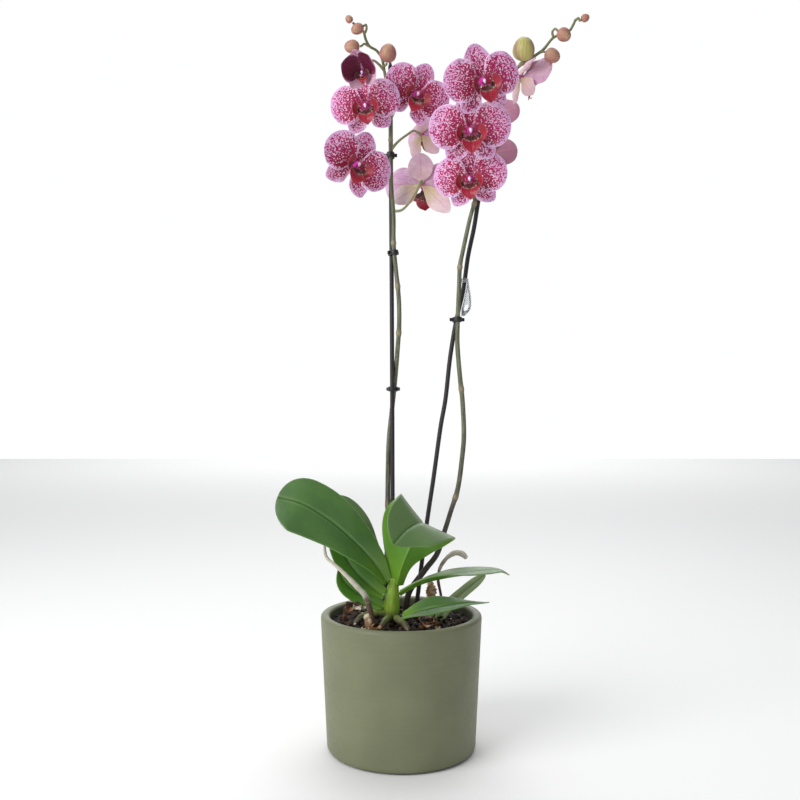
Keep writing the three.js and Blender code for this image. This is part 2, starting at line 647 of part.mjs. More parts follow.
function lipGeometry(flower) {
  const foot = [0, COLUMN_FOOT.y - LIP_GAP, COLUMN_FOOT.z - LIP_GAP];
  const scale = 1 - LIP_SHRINK * flower.closed;
  const local = (p) => p.map((value, i) => foot[i] + scale * (value - foot[i]));
  const sized = (half) => half.map((value) => value * scale);
  const middle = blade({
    line: [foot, [0, -10, -7.4], [0, -15, -11.2], [0, -17.4, -15.6], [0, -17, -20.6]].map(local),
    faces: [[0, -0.5, 0.85], [0, -0.6, 0.8], [0, -0.95, 0.3]],
    half: sized([1.8, 4.6, 8.4, 7.2, 1]),
    cup: [0.5, 0.4, 0.25, 0.1],
    steps: 4,
    across: 2,
    thickness: 1.1,
    edge: 0.9,
  });
  const lobes = [-1, 1].map((side) =>
    blade({
      line: [[side * 1.5, -7.6, -6.2], [side * 6.4, -10, -8.4], [side * 10.2, -12, -5],
        [side * 10.2, -13, 0.4], [side * 8.2, -13.2, 4.6]].map(local),
      faces: [[0, -0.3, 0.95], [side * -0.6, -0.55, 0.5], [side * -0.62, -0.78, 0],
        [side * -0.5, -0.85, -0.2]],
      half: sized([2.4, 4.4, 4.9, 4.4, 1.6]),
      steps: 3,
      across: 1,
      thickness: 0.9,
      edge: 0.8,
    }),
  );
  return joined([middle, ...lobes]).applyMatrix4(placer(flower));
}

// The stalk's last point lies just clear of the hub, on the flower's own axis.
function stalkRoute(name) {
  const flower = FLOWERS[name];
  const back = HUB_RADIUS + CLEARANCE / flower.size;
  const matrix = placer(flower);
  const end = at(0, back, 0).applyMatrix4(matrix).toArray();
  const before = at(0, back + 4, 0).applyMatrix4(matrix).toArray();
  return [...STALKS[name], before, end];
}

function budRoute(name) {
  const { foot, towards } = BUDS[name];
  const axis = at(...towards).normalize();
  const end = at(...foot).addScaledVector(axis, -CLEARANCE).toArray();
  const before = at(...foot).addScaledVector(axis, -1.6).toArray();
  return [...BUD_STALKS[name], before, end];
}

// A flower spike: the stem with its rings, and every stalk fused to it
function spikeGeometry(line, rings, letter) {
  const foot = line[0][2];
  const top = line[line.length - 1][2];
  const curve = new THREE.CatmullRomCurve3(points(line));
  const ringStops = rings.map((height) => {
    let t = 0;
    while (curve.getPoint(t).z < height) t += 0.001;
    return t;
  });
  const reach = RING_HEIGHT / (2 * curve.getLength());
  const radius = (centre, t) => {
    const share = (centre.z - foot) / (top - foot);
    const plain = STEM_RADIUS + (STEM_TIP_RADIUS - STEM_RADIUS) * share ** 3;
    return plain + (ringStops.some((stop) => Math.abs(stop - t) < 1e-6) ? RING_RISE : 0);
  };
  const nearRings = ringStops.flatMap((stop) => [stop - reach, stop, stop + reach]);
  const clear = evenly(26).filter((t) => nearRings.every((stop) => Math.abs(stop - t) > reach));
  const stops = [...clear, ...nearRings].sort((a, b) => a - b);
  const parts = [bar({ line, radius, sides: 6, stops })];
  for (const name of Object.keys(STALKS)) {
    if (!name.startsWith("bloom_" + letter)) continue;
    const thick = [PEDICEL_RADIUS, PEDICEL_RADIUS, PEDICEL_RADIUS, OVARY_RADIUS];
    parts.push(bar({ line: stalkRoute(name), radius: thick, sides: 5, steps: 5 }));
  }
  for (const name of Object.keys(BUD_STALKS)) {
    if (!name.startsWith("bud_" + letter)) continue;
    parts.push(bar({ line: budRoute(name), radius: STEM_TIP_RADIUS, sides: 5, steps: 4 }));
  }
  return joined(parts);
}

// The whole plant
const plant = new THREE.Group();

function add(name, geometry, [colour, roughness]) {
  const material = new THREE.MeshStandardMaterial({ color: colour, roughness, metalness: 0 });
  const mesh = new THREE.Mesh(geometry, material);
  mesh.name = name;
  plant.add(mesh);
}

const stakes = {
  stake_left: (grow) => bar({ line: LEFT_STAKE, radius: STAKE_RADIUS + grow, sides: 7, steps: 8 }),
  stake_right: (grow) => bar({ line: RIGHT_STAKE, radius: STAKE_RADIUS + grow, sides: 7, steps: 12 }),
};
const sheathForm = (form) => {
  return { ...form, thickness: SHEATH_THICKNESS, edge: SHEATH_THICKNESS, across: 3, steps: 5 };
};

// Sleeves: what stands in the mix, a clearance and an easing wider, to cut the hole it stands in
const sunk = (line) => {
  const [x, y, z] = line[0];
  return [[x, y, z - CLEARANCE], ...line.slice(1, 4)];
};
const crownSleeve = crownGeometry(CLEARANCE);
const rootSleeve = ({ line, radius }) =>
  bar({ line: sunk(line), radius: radius[0] + CLEARANCE + EASING, sides: 8, steps: 8 });
const bladeSleeve = (form) => {
  const half = form.half.map((value) => value + CLEARANCE + EASING);
  const thickness = (form.thickness ?? LEAF_THICKNESS) + 2 * (CLEARANCE + EASING);
  return blade({ ...form, line: sunk(form.line), half, thickness, edge: thickness, steps: 8 });
};
const holes = [
  crownSleeve,
  stakes.stake_left(CLEARANCE).translate(0, 0, -CLEARANCE),
  stakes.stake_right(CLEARANCE).translate(0, 0, -CLEARANCE),
  rootSleeve({ line: LEFT_STEM, radius: [STEM_RADIUS] }),
  rootSleeve({ line: RIGHT_STEM, radius: [STEM_RADIUS + EASING] }),
  ...Object.values(AERIAL_ROOTS).map(rootSleeve),
  bladeSleeve(LEAVES.leaf_8),
  ...Object.values(SHEATHS).map((form) => bladeSleeve(sheathForm(form))),
];

add("pot", potGeometry(), SHADES.glaze);
add("potting_mix", mixGeometry(holes), SHADES.bark);
add("crown", crownGeometry(), SHADES.crown);
for (const [name, form] of Object.entries(LEAVES)) {
  add(name, cut(blade(form), [crownSleeve]), SHADES.leaf);
}
for (const [name, form] of Object.entries(AERIAL_ROOTS)) {
  add(name, cut(bar({ ...form, sides: 6, steps: 13 }), [crownSleeve]), SHADES.root);
}
for (const [name, form] of Object.entries(SHEATHS)) {
  add(name, blade(sheathForm(form)), SHADES.sheath);
}
for (const [name, make] of Object.entries(stakes)) {
  add(name, make(0), SHADES.stake);
}
add("spike_left", spikeGeometry(LEFT_STEM, LEFT_NODES, "a"), SHADES.stem);
add("spike_right", spikeGeometry(RIGHT_STEM, RIGHT_NODES, "b"), SHADES.stem);
for (const [name, form] of Object.entries(CLIPS)) {
  add(name, clipGeometry(form), SHADES.clip);
}
add("clear_clip_right", clearClipGeometry(), SHADES.clear);
for (const [name, form] of Object.entries(BUDS)) {
  add(name, egg(form), name === "bud_b1" ? SHADES.greenBud : SHADES.bud);
}
for (const [name, flower] of Object.entries(FLOWERS)) {
  add(name, bloomGeometry(flower), SHADES.tepal);
  add(name.replace("bloom", "lip"), lipGeometry(flower), SHADES.lip);
}

export default plant;
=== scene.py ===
"""A moth orchid with two flower spikes in a round ceramic pot, dressed around its fixed frame.

Sizes are in millimetres and become metres where a mesh is made. +Z is up and -Y is the front.
"""

import logging
import random
from dataclasses import dataclass, field
from enum import Enum
from math import cos, hypot, pi, radians, sin, sqrt

import bpy
import numpy as np
from mathutils import Euler, Matrix, Vector


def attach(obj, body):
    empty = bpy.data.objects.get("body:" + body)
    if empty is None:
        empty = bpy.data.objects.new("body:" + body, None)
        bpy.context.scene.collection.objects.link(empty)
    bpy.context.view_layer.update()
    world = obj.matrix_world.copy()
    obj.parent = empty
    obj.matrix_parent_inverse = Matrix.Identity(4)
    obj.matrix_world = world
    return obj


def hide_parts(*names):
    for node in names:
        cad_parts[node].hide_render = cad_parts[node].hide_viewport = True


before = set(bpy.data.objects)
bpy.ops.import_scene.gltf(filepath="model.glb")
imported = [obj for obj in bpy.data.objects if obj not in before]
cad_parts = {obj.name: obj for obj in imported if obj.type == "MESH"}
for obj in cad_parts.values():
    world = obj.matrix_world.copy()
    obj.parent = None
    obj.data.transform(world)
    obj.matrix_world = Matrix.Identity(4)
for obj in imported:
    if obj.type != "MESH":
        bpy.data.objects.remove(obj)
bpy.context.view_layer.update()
LOG = logging.getLogger("orchid")
MM = 0.001

Row = tuple[float, float, float]
Line = list[Row]
Pair = tuple[float, float]
Stops = tuple[tuple[float, Row], ...]
Material = bpy.types.Material
Socket = bpy.types.NodeSocket
Value = float | Row | Socket


class Slot(Enum):
    """The record's material slots."""

    GLAZE = "glaze"
    BARK = "bark"
    CROWN = "crown"
    LEAF = "leaf"
    ROOT = "root"
    SHEATH = "sheath"
    STEM = "stem"
    STAKE = "stake"
    CLIP = "clip"
    CLEAR = "clear"
    BUD = "bud"
    GREEN_BUD = "green_bud"
    TEPAL = "tepal"
    LIP = "lip"


# Lines and values along them


class Path:
    """A smooth open line through points, the one that the fixed frame's bars and blades follow."""

    def __init__(self, points: Line) -> None:
        """Keeps the points and measures the line.

        Args:
            points: the places that the line passes through.
        """
        self.points = np.array(points, float)
        self.stops = np.linspace(0, 1, 60 * (len(points) - 1) + 1)
        gaps = np.linalg.norm(np.diff(self.at(self.stops), axis=0), axis=1)
        self.marks = np.concatenate([[0.0], np.cumsum(gaps)])

    @property
    def length(self) -> float:
        """The length of the line."""
        return float(self.marks[-1])

    def even(self, shares: np.ndarray) -> np.ndarray:
        """Turns shares of the length into the line's own stops."""
        return np.interp(shares * self.length, self.marks, self.stops)

    def at(self, stops: np.ndarray) -> np.ndarray:
        """Places on the line.

        Args:
            stops: numbers from 0 to 1.

        Returns:
            One row for each stop.
        """
        knots = self.points
        place = np.clip(stops, 0, 1) * (len(knots) - 1)
        first = np.minimum(place.astype(int), len(knots) - 2)
        weight = (place - first)[:, None]
        ends = (2 * knots[0] - knots[1], 2 * knots[-1] - knots[-2])
        padded = np.vstack([ends[0], knots, ends[1]])
        a, b, c, d = (padded[first + k] for k in range(4))
        gap_0, gap_1, gap_2 = (
            np.maximum(((q - p) ** 2).sum(1), 1e-12)[:, None] ** 0.25 for p, q in ((a, b), (b, c), (c, d))
        )
        leave = ((b - a) / gap_0 - (c - a) / (gap_0 + gap_1) + (c - b) / gap_1) * gap_1
        reach = ((c - b) / gap_1 - (d - b) / (gap_1 + gap_2) + (d - c) / gap_2) * gap_1
        square = (3 * (c - b) - 2 * leave - reach) * weight**2
        return b + leave * weight + square + (2 * (b - c) + leave + reach) * weight**3

    def ahead(self, stops: np.ndarray) -> np.ndarray:
        """The line's direction at each stop, with length 1."""
        step = 1e-4
        return unit(self.at(np.minimum(stops + step, 1)) - self.at(np.maximum(stops - step, 0)))


def unit(rows: np.ndarray) -> np.ndarray:
    """Rows scaled to length 1."""
    return rows / np.maximum(np.linalg.norm(rows, axis=-1, keepdims=True), 1e-9)


def around(count: int) -> np.ndarray:
    """Evenly spaced angles round a circle."""
    return np.linspace(0, 2 * pi, count, endpoint=False)


def boxy(value: float | np.ndarray, power: float) -> float | np.ndarray:
    """A sine or cosine with its power taken and its sign kept, for a rounded square."""
    return np.sign(value) * np.abs(value) ** power


def along(values: list[float] | Line | float, shares: np.ndarray) -> np.ndarray:
    """Values of a smooth curve through evenly spaced numbers or rows.

    Args:
        values: one number, or a list of numbers or rows.
        shares: numbers from 0 to 1.

    Returns:
        One value or row for each share.
    """
    knots = np.array(values, float)
    if knots.ndim == 0:
        return np.full(len(shares), float(knots))
    place = np.clip(shares, 0, 1) * (len(knots) - 1)
    first = np.minimum(place.astype(int), len(knots) - 2)
    weight = place - first
    if knots.ndim == 2:
        weight = weight[:, None]
    padded = np.concatenate([knots[:1], knots, knots[-1:]])
    a, b, c, d = (padded[first + k] for k in range(4))
    leave = (c - a) / 2
    reach = (d - b) / 2
    square = (3 * (c - b) - 2 * leave - reach) * weight**2
    return b + leave * weight + square + (2 * (b - c) + leave + reach) * weight**3


# Meshes in the making


@dataclass
class Form:
    """The points, four-sided and three-sided faces, and painted values of a closed mesh."""

    points: np.ndarray
    quads: np.ndarray
    triangles: np.ndarray
    paint: dict[str, np.ndarray] = field(default_factory=dict)

    def outward(self) -> "Form":
        """Turns every face round if the form is inside out.

        Returns:
            The form.
        """
        halves = np.concatenate([self.triangles, self.quads[:, :3], self.quads[:, [0, 2, 3]]])
        a, b, c = (self.points[halves[:, k]] for k in range(3))
        if (a * np.cross(b, c)).sum() < 0:
            self.quads = self.quads[:, ::-1]
            self.triangles = self.triangles[:, ::-1]
        return self

    def moved(self, matrix: np.ndarray) -> "Form":
        """The form after a 4 by 4 matrix."""
        self.points = self.points @ matrix[:3, :3].T + matrix[:3, 3]
        return self

    def painted(self, **values: float) -> "Form":
        """The form with a value painted all over it for each name.

        Args:
            values: a number for each name.

        Returns:
            The form.
        """
        for name, value in values.items():
            self.paint[name] = np.full(len(self.points), float(value))
        return self


def together(forms: list[Form]) -> Form:
    """Several closed forms as one.

    Args:
        forms: the forms; a value that one lacks counts as 0 there.

    Returns:
        One form that holds them all.
    """
    names = sorted({name for form in forms for name in form.paint})
    starts = np.cumsum([0] + [len(form.points) for form in forms])
    quads = np.concatenate([form.quads + start for form, start in zip(forms, starts)])
    triangles = np.concatenate([form.triangles + start for form, start in zip(forms, starts)])
    paint = {}
    for name in names:
        wide = max(form.paint[name].ndim for form in forms if name in form.paint)
        blanks = [
            form.paint.get(name, np.zeros((len(form.points), 3) if wide == 2 else len(form.points)))
            for form in forms
        ]
        paint[name] = np.concatenate(blanks)
    return Form(np.concatenate([form.points for form in forms]), quads, triangles, paint)


def loft(rings: np.ndarray, paint: dict[str, np.ndarray] | None = None, ring_road: bool = False) -> Form:
    """A closed skin over a row of rings.

    Args:
        rings: an array of rings, points and coordinates.
        paint: a value for each point of each ring.
        ring_road: whether the last ring joins the first, as in a band.

    Returns:
        The closed form, with a cap at each end if it is no band.
    """
    count, width = rings.shape[:2]
    points = rings.reshape(-1, 3)
    low = np.arange(count if ring_road else count - 1)[:, None] * width
    high = (low + width) % (count * width)
    j = np.arange(width)[None, :]
    k = (j + 1) % width
    quads = np.stack([low + j, low + k, high + k, high + j], -1).reshape(-1, 4)
    triangles = np.zeros((0, 3), int)
    values = {name: value.reshape(count * width, *value.shape[2:]) for name, value in (paint or {}).items()}
    if not ring_road:
        points = np.vstack([points, rings[0].mean(0), rings[-1].mean(0)])
        first = len(points) - 2
        last = (count - 1) * width
        foot = np.stack([np.full(width, first), k[0], j[0]], -1)
        head = np.stack([np.full(width, first + 1), last + j[0], last + k[0]], -1)
        triangles = np.concatenate([foot, head])
        for name, value in values.items():
            values[name] = np.concatenate([value, value[:1], value[-1:]])
    return Form(points, quads, triangles, values).outward()


def bar(
    line: Line, radius: list[float] | float | np.ndarray, sides: int = 16, steps: int = 60, flutes: int = 0,
    depth: float = 0,
) -> Form:  # fmt: skip
    """A round bar along a smooth line.

    Args:
        line: the places that it passes through.
        radius: a number, numbers along it, or one number for each ring.
        sides: points of a ring.
        steps: rings along the bar.
        flutes: shallow grooves round it.
        depth: the grooves' share of the radius.

    Returns:
        The form, painted with its share of the length and its way round.
    """
    path = Path(line)
    shares = np.linspace(0, 1, steps + 1)
    centres = path.at(shares)
    aheads = path.ahead(shares)
    sizes = radius if isinstance(radius, np.ndarray) else along(radius, shares)
    across = np.array([0.31, 0.89, 0.33])
    turn = around(sides)
    flute = 1 + depth * np.cos(flutes * turn)
    rings = []
    for centre, ahead, size in zip(centres, aheads, sizes):
        across = unit(across - ahead * across.dot(ahead))
        beside = np.cross(ahead, across)
        round_it = np.outer(np.cos(turn) * flute, across) + np.outer(np.sin(turn) * flute, beside)
        rings.append(centre + size * round_it)
    paint = {
        "along": np.repeat(shares[:, None], sides, 1),
        "round": np.repeat(turn[None, :] / (2 * pi), steps + 1, 0),
    }
    return loft(np.array(rings), paint)


def ellipsoid(centre: Row, sizes: Row, rings: int = 12, sides: int = 16) -> Form:
    """A closed egg-like lump.

    Args:
        centre: its middle.
        sizes: its half sizes along x, y and z.
        rings: rings from pole to pole.
        sides: points of a ring.

    Returns:
        The form.
    """
    polar = np.linspace(0.08, pi - 0.08, rings)[:, None]
    turn = around(sides)[None, :]
    ball = np.stack([np.sin(polar) * np.cos(turn), np.sin(polar) * np.sin(turn), np.cos(polar) + 0 * turn], -1)
    return loft(ball * np.array(sizes) + np.array(centre))


@dataclass
class Blade:
    """A leaf-like blade along a line: where it faces, and its width, fold and cup along the way."""

    line: Line
    faces: Line
    half: list[float]
    half_left: list[float] | None = None
    fold: list[float] | float = 0.0
    cup: list[float] | float = 0.0
    thickness: float = 2.2
    edge: float = 1.0
    tip: float = 0.8
    groove: float = 0.0
    keel: float = 0.0
    rib_width: float = 1.6
    wave: float = 0.0
    waves: float = 3.0
    phase: float = 0.0
    ragged: float = 0.0
    across: int = 24
    steps: int = 60
    blunt: float = 0.5

    def form(self) -> Form:
        """Builds the blade.

        Returns:
            The form, painted with its place on the blade, its side and its distance from the rim.
        """
        path = Path(self.line)
        share = 1 - (1 - np.linspace(0, 1, self.steps + 1)) ** 1.5
        stops = path.even(share)
        centre = path.at(stops)[:, None, :]
        ahead = path.ahead(stops)
        side = unit(np.cross(ahead, unit(along(self.faces, share))))[:, None, :]
        out = unit(np.cross(side[:, 0], ahead))[:, None, :]
        s = np.linspace(-1, 1, self.across + 1)[None, :]
        past = np.clip((share - self.tip) / (1 - self.tip), 0, 1)
        close = (1 - past**2) ** self.blunt
        right = along(self.half, share) * close
        left = along(self.half_left or self.half, share) * close
        reach = np.where(s < 0, left[:, None], right[:, None])
        reach = np.maximum(reach, 0.02)
        if self.ragged:
            tear = np.sin(share * 41 + self.phase) * np.sin(share * 67 + 2 * self.phase)
            reach = reach * (1 + self.ragged * tear[:, None] * np.abs(s))
        soft = np.sqrt(s**2 + 0.004)
        fold = along(self.fold, share)[:, None]
        cup = along(self.cup, share)[:, None]
        beat = 2 * pi * (self.waves * share[:, None] + self.phase)
        flutter = self.wave * np.sin(beat + 1.3 * np.sign(s)) * np.abs(s) ** 2.5 * close[:, None]
        lift = (reach * (fold * soft + cup * s**2) + flutter)[..., None]
        body = ((self.edge + (self.thickness - self.edge) * (1 - s**2)) * (0.35 + 0.65 * close[:, None]))[..., None]
        middle = centre + side * (s * reach)[..., None] + out * lift
        rib = np.exp(-((s * reach / self.rib_width) ** 2))[..., None]
        rib = rib * np.clip(close * 1.4, 0, 1)[:, None, None]
        upper = middle + out * (body / 2 - self.groove * rib)
        lower = middle - out * (body / 2 + self.keel * rib)
        rim_right = middle[:, -1:] + side * self.edge * 0.5 * close[:, None, None]
        rim_left = middle[:, :1] - side * self.edge * 0.5 * close[:, None, None]
        rings = np.concatenate([upper, rim_right, lower[:, ::-1], rim_left], 1)
        place = s * reach
        mark = np.concatenate([place, place[:, -1:], place[:, ::-1], place[:, :1]], 1)
        share_across = np.repeat(s, self.steps + 1, 0)
        wide = [share_across, share_across[:, -1:], share_across[:, ::-1], share_across[:, :1]]
        front = np.zeros_like(mark)
        front[:, : self.across + 1] = 1
        front[:, [self.across + 1, -1]] = 0.5
        long_way = np.repeat((share * path.length)[:, None], mark.shape[1], 1)
        inner = np.minimum((1 - np.abs(s)) * reach, ((1 - share) * path.length)[:, None])
        inset = np.concatenate([inner, inner[:, -1:], inner[:, ::-1], inner[:, :1]], 1)
        skin = np.stack([mark, long_way, np.full_like(mark, self.phase * 97)], -1)
        paint = {
            "skin": skin,
            "across": np.concatenate(wide, 1),
            "along": np.repeat(share[:, None], mark.shape[1], 1),
            "front": front,
            "inset": inset,
        }
        return loft(rings, paint)


def stand(name: str, data: bpy.types.ID) -> bpy.types.Object:
    """Puts an object with the given data into the scene.

    Args:
        name: the object's name.
        data: its mesh, light or camera.

    Returns:
        The object.
    """
    made = bpy.data.objects.new(name, data)
    bpy.context.scene.collection.objects.link(made)
    return made


def piece(
    name: str, form: Form, finish: Material, nodes: list[str], flat: bool = False
) -> None:
    """Makes a piece of the plant that stands for nodes of the frame.

    Args:
        name: the piece's name.
        form: its mesh.
        finish: its material.
        nodes: the nodes that it stands for.
        flat: whether its faces stay flat.
    """
    mesh = bpy.data.meshes.new(name)
    mesh.from_pydata((form.points * MM).tolist(), [], [*form.quads.tolist(), *form.triangles.tolist()])
    for key, values in form.paint.items():
        kind = "FLOAT_VECTOR" if values.ndim == 2 else "FLOAT"
        paint = mesh.attributes.new(key, kind, "POINT")
        paint.data.foreach_set("vector" if values.ndim == 2 else "value", values.astype(np.float32).ravel())
    mesh.validate()
    if not flat:
        mesh.shade_smooth()
    mesh.materials.append(finish)
    made = stand(name, mesh)
    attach(made, "root")
    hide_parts(*nodes)
    LOG.info("%s: %d triangles", name, 2 * len(form.quads) + len(form.triangles))


# Wiring of materials


class Wires:
    """A node tree with short calls for the nodes that the finishes use."""

    def __init__(self, tree: bpy.types.NodeTree) -> None:
        """Takes the tree to build in. A material's wires also hold its shader."""
        self.tree = tree
        self.shader: bpy.types.Node | None = None

    def node(self, kind: str, inputs: dict[str | int, Value] | None = None, **settings: object) -> bpy.types.Node:
        """Adds a node.

        Args:
            kind: the node's type without its prefix.
            inputs: sockets by name or number, each with a value or another socket.
            settings: properties of the node.

        Returns:
            The node.
        """
        made = self.tree.nodes.new("ShaderNode" + kind)
        for name, value in settings.items():
            setattr(made, name, value)
        for name, value in (inputs or {}).items():
            self.feed(made.inputs[name], value)
        return made

    def feed(self, socket: Socket, value: Value) -> None:
        """Links a socket to another, or sets its value.

        Args:
            socket: the socket to feed.
            value: another socket, a number or a row.
        """
        if isinstance(value, Socket):
            self.tree.links.new(value, socket)
        elif isinstance(value, (tuple, list)) and len(value) == 3 and socket.type == "RGBA":
            socket.default_value = (*value, 1)
        else:
            socket.default_value = value

    def paint(self, name: str, vector: bool = False) -> Socket:
        """The socket of a value painted on the mesh."""
        return self.node("Attribute", attribute_name=name).outputs["Vector" if vector else "Fac"]

    def place(self) -> Socket:
        """The point in the object's own frame, in metres."""
        return self.node("TexCoord").outputs["Object"]

    def sum(self, operation: str, *values: Value, clamp: bool = False) -> Socket:
        """A Math node's value.

        Args:
            operation: the node's operation.
            values: numbers or sockets.
            clamp: whether the result stays from 0 to 1.

        Returns:
            The socket of the result.
        """
        made = self.node("Math", operation=operation, use_clamp=clamp)
        for socket, value in zip(made.inputs, values):
            self.feed(socket, value)
        return made.outputs[0]

    def smooth(self, value: Value, low: Value, high: Value, start: float = 0.0, end: float = 1.0) -> Socket:
        """A soft step of a value from start at low to end at high.

        Args:
            value: the socket to read.
            low: where the step begins.
            high: where it ends.
            start: the result up to low.
            end: the result from high on.

        Returns:
            The socket of the result.
        """
        made = self.node("MapRange", interpolation_type="SMOOTHSTEP")
        for name, number in zip(("Value", "From Min", "From Max", "To Min", "To Max"), (value, low, high, start, end)):
            self.feed(made.inputs[name], number)
        return made.outputs["Result"]

    def mix(self, share: Value, first: Value, second: Value) -> Socket:
        """A colour between two, by a share.

        Args:
            share: the second colour's share.
            first: a colour or its socket.
            second: a colour or its socket.

        Returns:
            The socket of the mixed colour.
        """
        made = self.node("Mix", data_type="RGBA")
        for socket, value in zip((made.inputs[0], made.inputs[6], made.inputs[7]), (share, first, second)):
            self.feed(socket, value)
        return made.outputs[2]

    def fade(self, value: Value, low: Value, high: Value, start: float = 1.0) -> Socket:
        """A soft step of a value down to 0 at high."""
        return self.smooth(value, low, high, start, 0.0)

    def times(self, first: Value, second: Value) -> Socket:
        """The product of two values."""
        return self.sum("MULTIPLY", first, second)

    def scaled(self, value: Value, factor: Value, offset: Value) -> Socket:
        """A value times a factor, and an offset added."""
        return self.sum("MULTIPLY_ADD", value, factor, offset)

    def layer(self, under: Socket, colour: Row, mask: Value, cover: float) -> Socket:
        """A colour with another laid over it where a mask says, up to a cover."""
        return self.mix(self.times(mask, cover), under, colour)

    def ramp(self, value: Socket, stops: Stops) -> Socket:
        """A colour from a row of stops.

        Args:
            value: the socket to read.
            stops: places from 0 to 1, each with its colour.

        Returns:
            The socket of the colour.
        """
        made = self.node("ValToRGB", {"Fac": value})
        edge = made.color_ramp.elements
        while len(edge) < len(stops):
            edge.new(0.5)
        for element, (place, colour) in zip(edge, stops):
            element.position = place
            element.color = (*colour, 1)
        return made.outputs["Color"]

    def noise(
        self, vector: Socket, scale: float, detail: float = 2.0, rough: float = 0.5, warp: float = 0.0
    ) -> Socket:
        """A noise value at a vector.

        Args:
            vector: the place to read it at.
            scale: how fine it is.
            detail: its layers of finer noise.
            rough: the finer layers' strength.
            warp: how much it is bent.

        Returns:
            The socket of a value from 0 to 1.
        """
        values = {"Vector": vector, "Scale": scale, "Detail": detail, "Roughness": rough, "Distortion": warp}
        return self.node("TexNoise", values).outputs["Fac"]

    def stretch(self, vector: Socket, scale: Row) -> Socket:
        """A vector scaled by a row.

        Args:
            vector: the vector's socket.
            scale: the factors along x, y and z.

        Returns:
            The socket of the scaled vector.
        """
        made = self.node("VectorMath", {0: vector}, operation="MULTIPLY")
        made.inputs[1].default_value = scale
        return made.outputs[0]

    def dress(
        self, colour: Socket, height: Socket, strength: float, depth: float, rough: Socket | None = None
    ) -> None:
        """Feeds a colour, a height as bump and a roughness into the shader.

        Args:
            colour: its colour.
            height: the height that bends its normal.
            strength: how much the normal bends, from 0 to 1.
            depth: the height's scale, in metres.
            rough: its roughness, where that varies.
        """
        self.feed(self.shader.inputs["Base Color"], colour)
        if rough is not None:
            self.feed(self.shader.inputs["Roughness"], rough)
        bent = self.node("Bump", {"Height": height, "Strength": strength, "Distance": depth})
        self.feed(self.shader.inputs["Normal"], bent.outputs["Normal"])

    def effect(self, shared: "Effect", **inputs: Value) -> bpy.types.NodeOutputs:
        """Places a shared effect.

        Args:
            shared: the effect.
            inputs: a value or socket for each of its inputs.

        Returns:
            The group's output sockets, by name.
        """
        made = self.node("Group", node_tree=shared.tree())
        for name, value in inputs.items():
            self.feed(made.inputs[name.replace("_", " ").capitalize()], value)
        return made.outputs

    def mottle(self, vector: Socket, scale: float) -> bpy.types.NodeOutputs:
        """The patches and grain of an uneven surface, at a vector."""
        return self.effect(MOTTLE, vector=vector, scale=scale)


class Effect:
    """A node group that several finishes share. It is built once."""

    name = ""
    takes: dict[str, tuple[str, float]] = {}
    gives: dict[str, str] = {}

    def tree(self) -> bpy.types.NodeTree:
        """The group, built at its first use.

        Returns:
            The node group.
        """
        known = bpy.data.node_groups.get(self.name)
        if known:
            return known
        made = bpy.data.node_groups.new(self.name, "ShaderNodeTree")
        for name, (kind, default) in self.takes.items():
            socket = made.interface.new_socket(name, in_out="INPUT", socket_type="NodeSocket" + kind)
            if kind == "Float":
                socket.default_value = default
        for name, kind in self.gives.items():
            made.interface.new_socket(name, in_out="OUTPUT", socket_type="NodeSocket" + kind)
        wires = Wires(made)
        start = made.nodes.new("NodeGroupInput")
        end = made.nodes.new("NodeGroupOutput")
        for name, socket in self.wire(wires, start.outputs).items():
            made.links.new(socket, end.inputs[name])
        return made

    def wire(self, wires: Wires, given: bpy.types.NodeOutputs) -> dict[str, Socket]:
        """Builds the inside and gives the output sockets by name."""
        raise NotImplementedError


class Mottle(Effect):
    """Soft patches of two sizes, for the unevenness of a grown or glazed surface."""

    name = "Mottle"
    takes = {"Vector": ("Vector", 0.0), "Scale": ("Float", 100.0)}
    gives = {"Patches": "Float", "Grain": "Float"}

    def wire(self, wires: Wires, given: bpy.types.NodeOutputs) -> dict[str, Socket]:
        """A wide noise and a fine one.

        Args:
            wires: the group's wires.
            given: the group's input sockets, by name.

        Returns:
            The output sockets by name.
        """
        fine = wires.times(given["Scale"], 9.0)
        wide = wires.node("TexNoise", {"Vector": given["Vector"], "Scale": given["Scale"], "Detail": 3.0})
        grain = wires.node("TexNoise", {"Vector": given["Vector"], "Scale": fine, "Detail": 2.0})
        return {"Patches": wires.smooth(wide.outputs["Fac"], 0.3, 0.7), "Grain": grain.outputs["Fac"]}


class Veins(Effect):
    """Fine lines that run along a blade and wander a little."""

    name = "Veins"
    takes = {"Skin": ("Vector", 0.0), "Across": ("Float", 0.0), "Count": ("Float", 12.0), "Wander": ("Float", 0.2)}
    gives = {"Lines": "Float", "Height": "Float"}

    def wire(self, wires: Wires, given: bpy.types.NodeOutputs) -> dict[str, Socket]:
        """A wave across the blade, bent by noise.

        Args:
            wires: the group's wires.
            given: the group's input sockets, by name.

        Returns:
            The output sockets by name.
        """
        drift = wires.node("TexNoise", {"Vector": given["Skin"], "Scale": 0.12, "Detail": 2.0}).outputs["Fac"]
        bend = wires.times(wires.sum("SUBTRACT", drift, 0.5), given["Wander"])
        place = wires.times(wires.sum("ADD", given["Across"], bend), given["Count"])
        wave = wires.sum("COSINE", wires.times(place, pi))
        height = wires.scaled(wave, 0.5, 0.5)
        return {"Lines": wires.smooth(height, 0.72, 1.0), "Height": height}


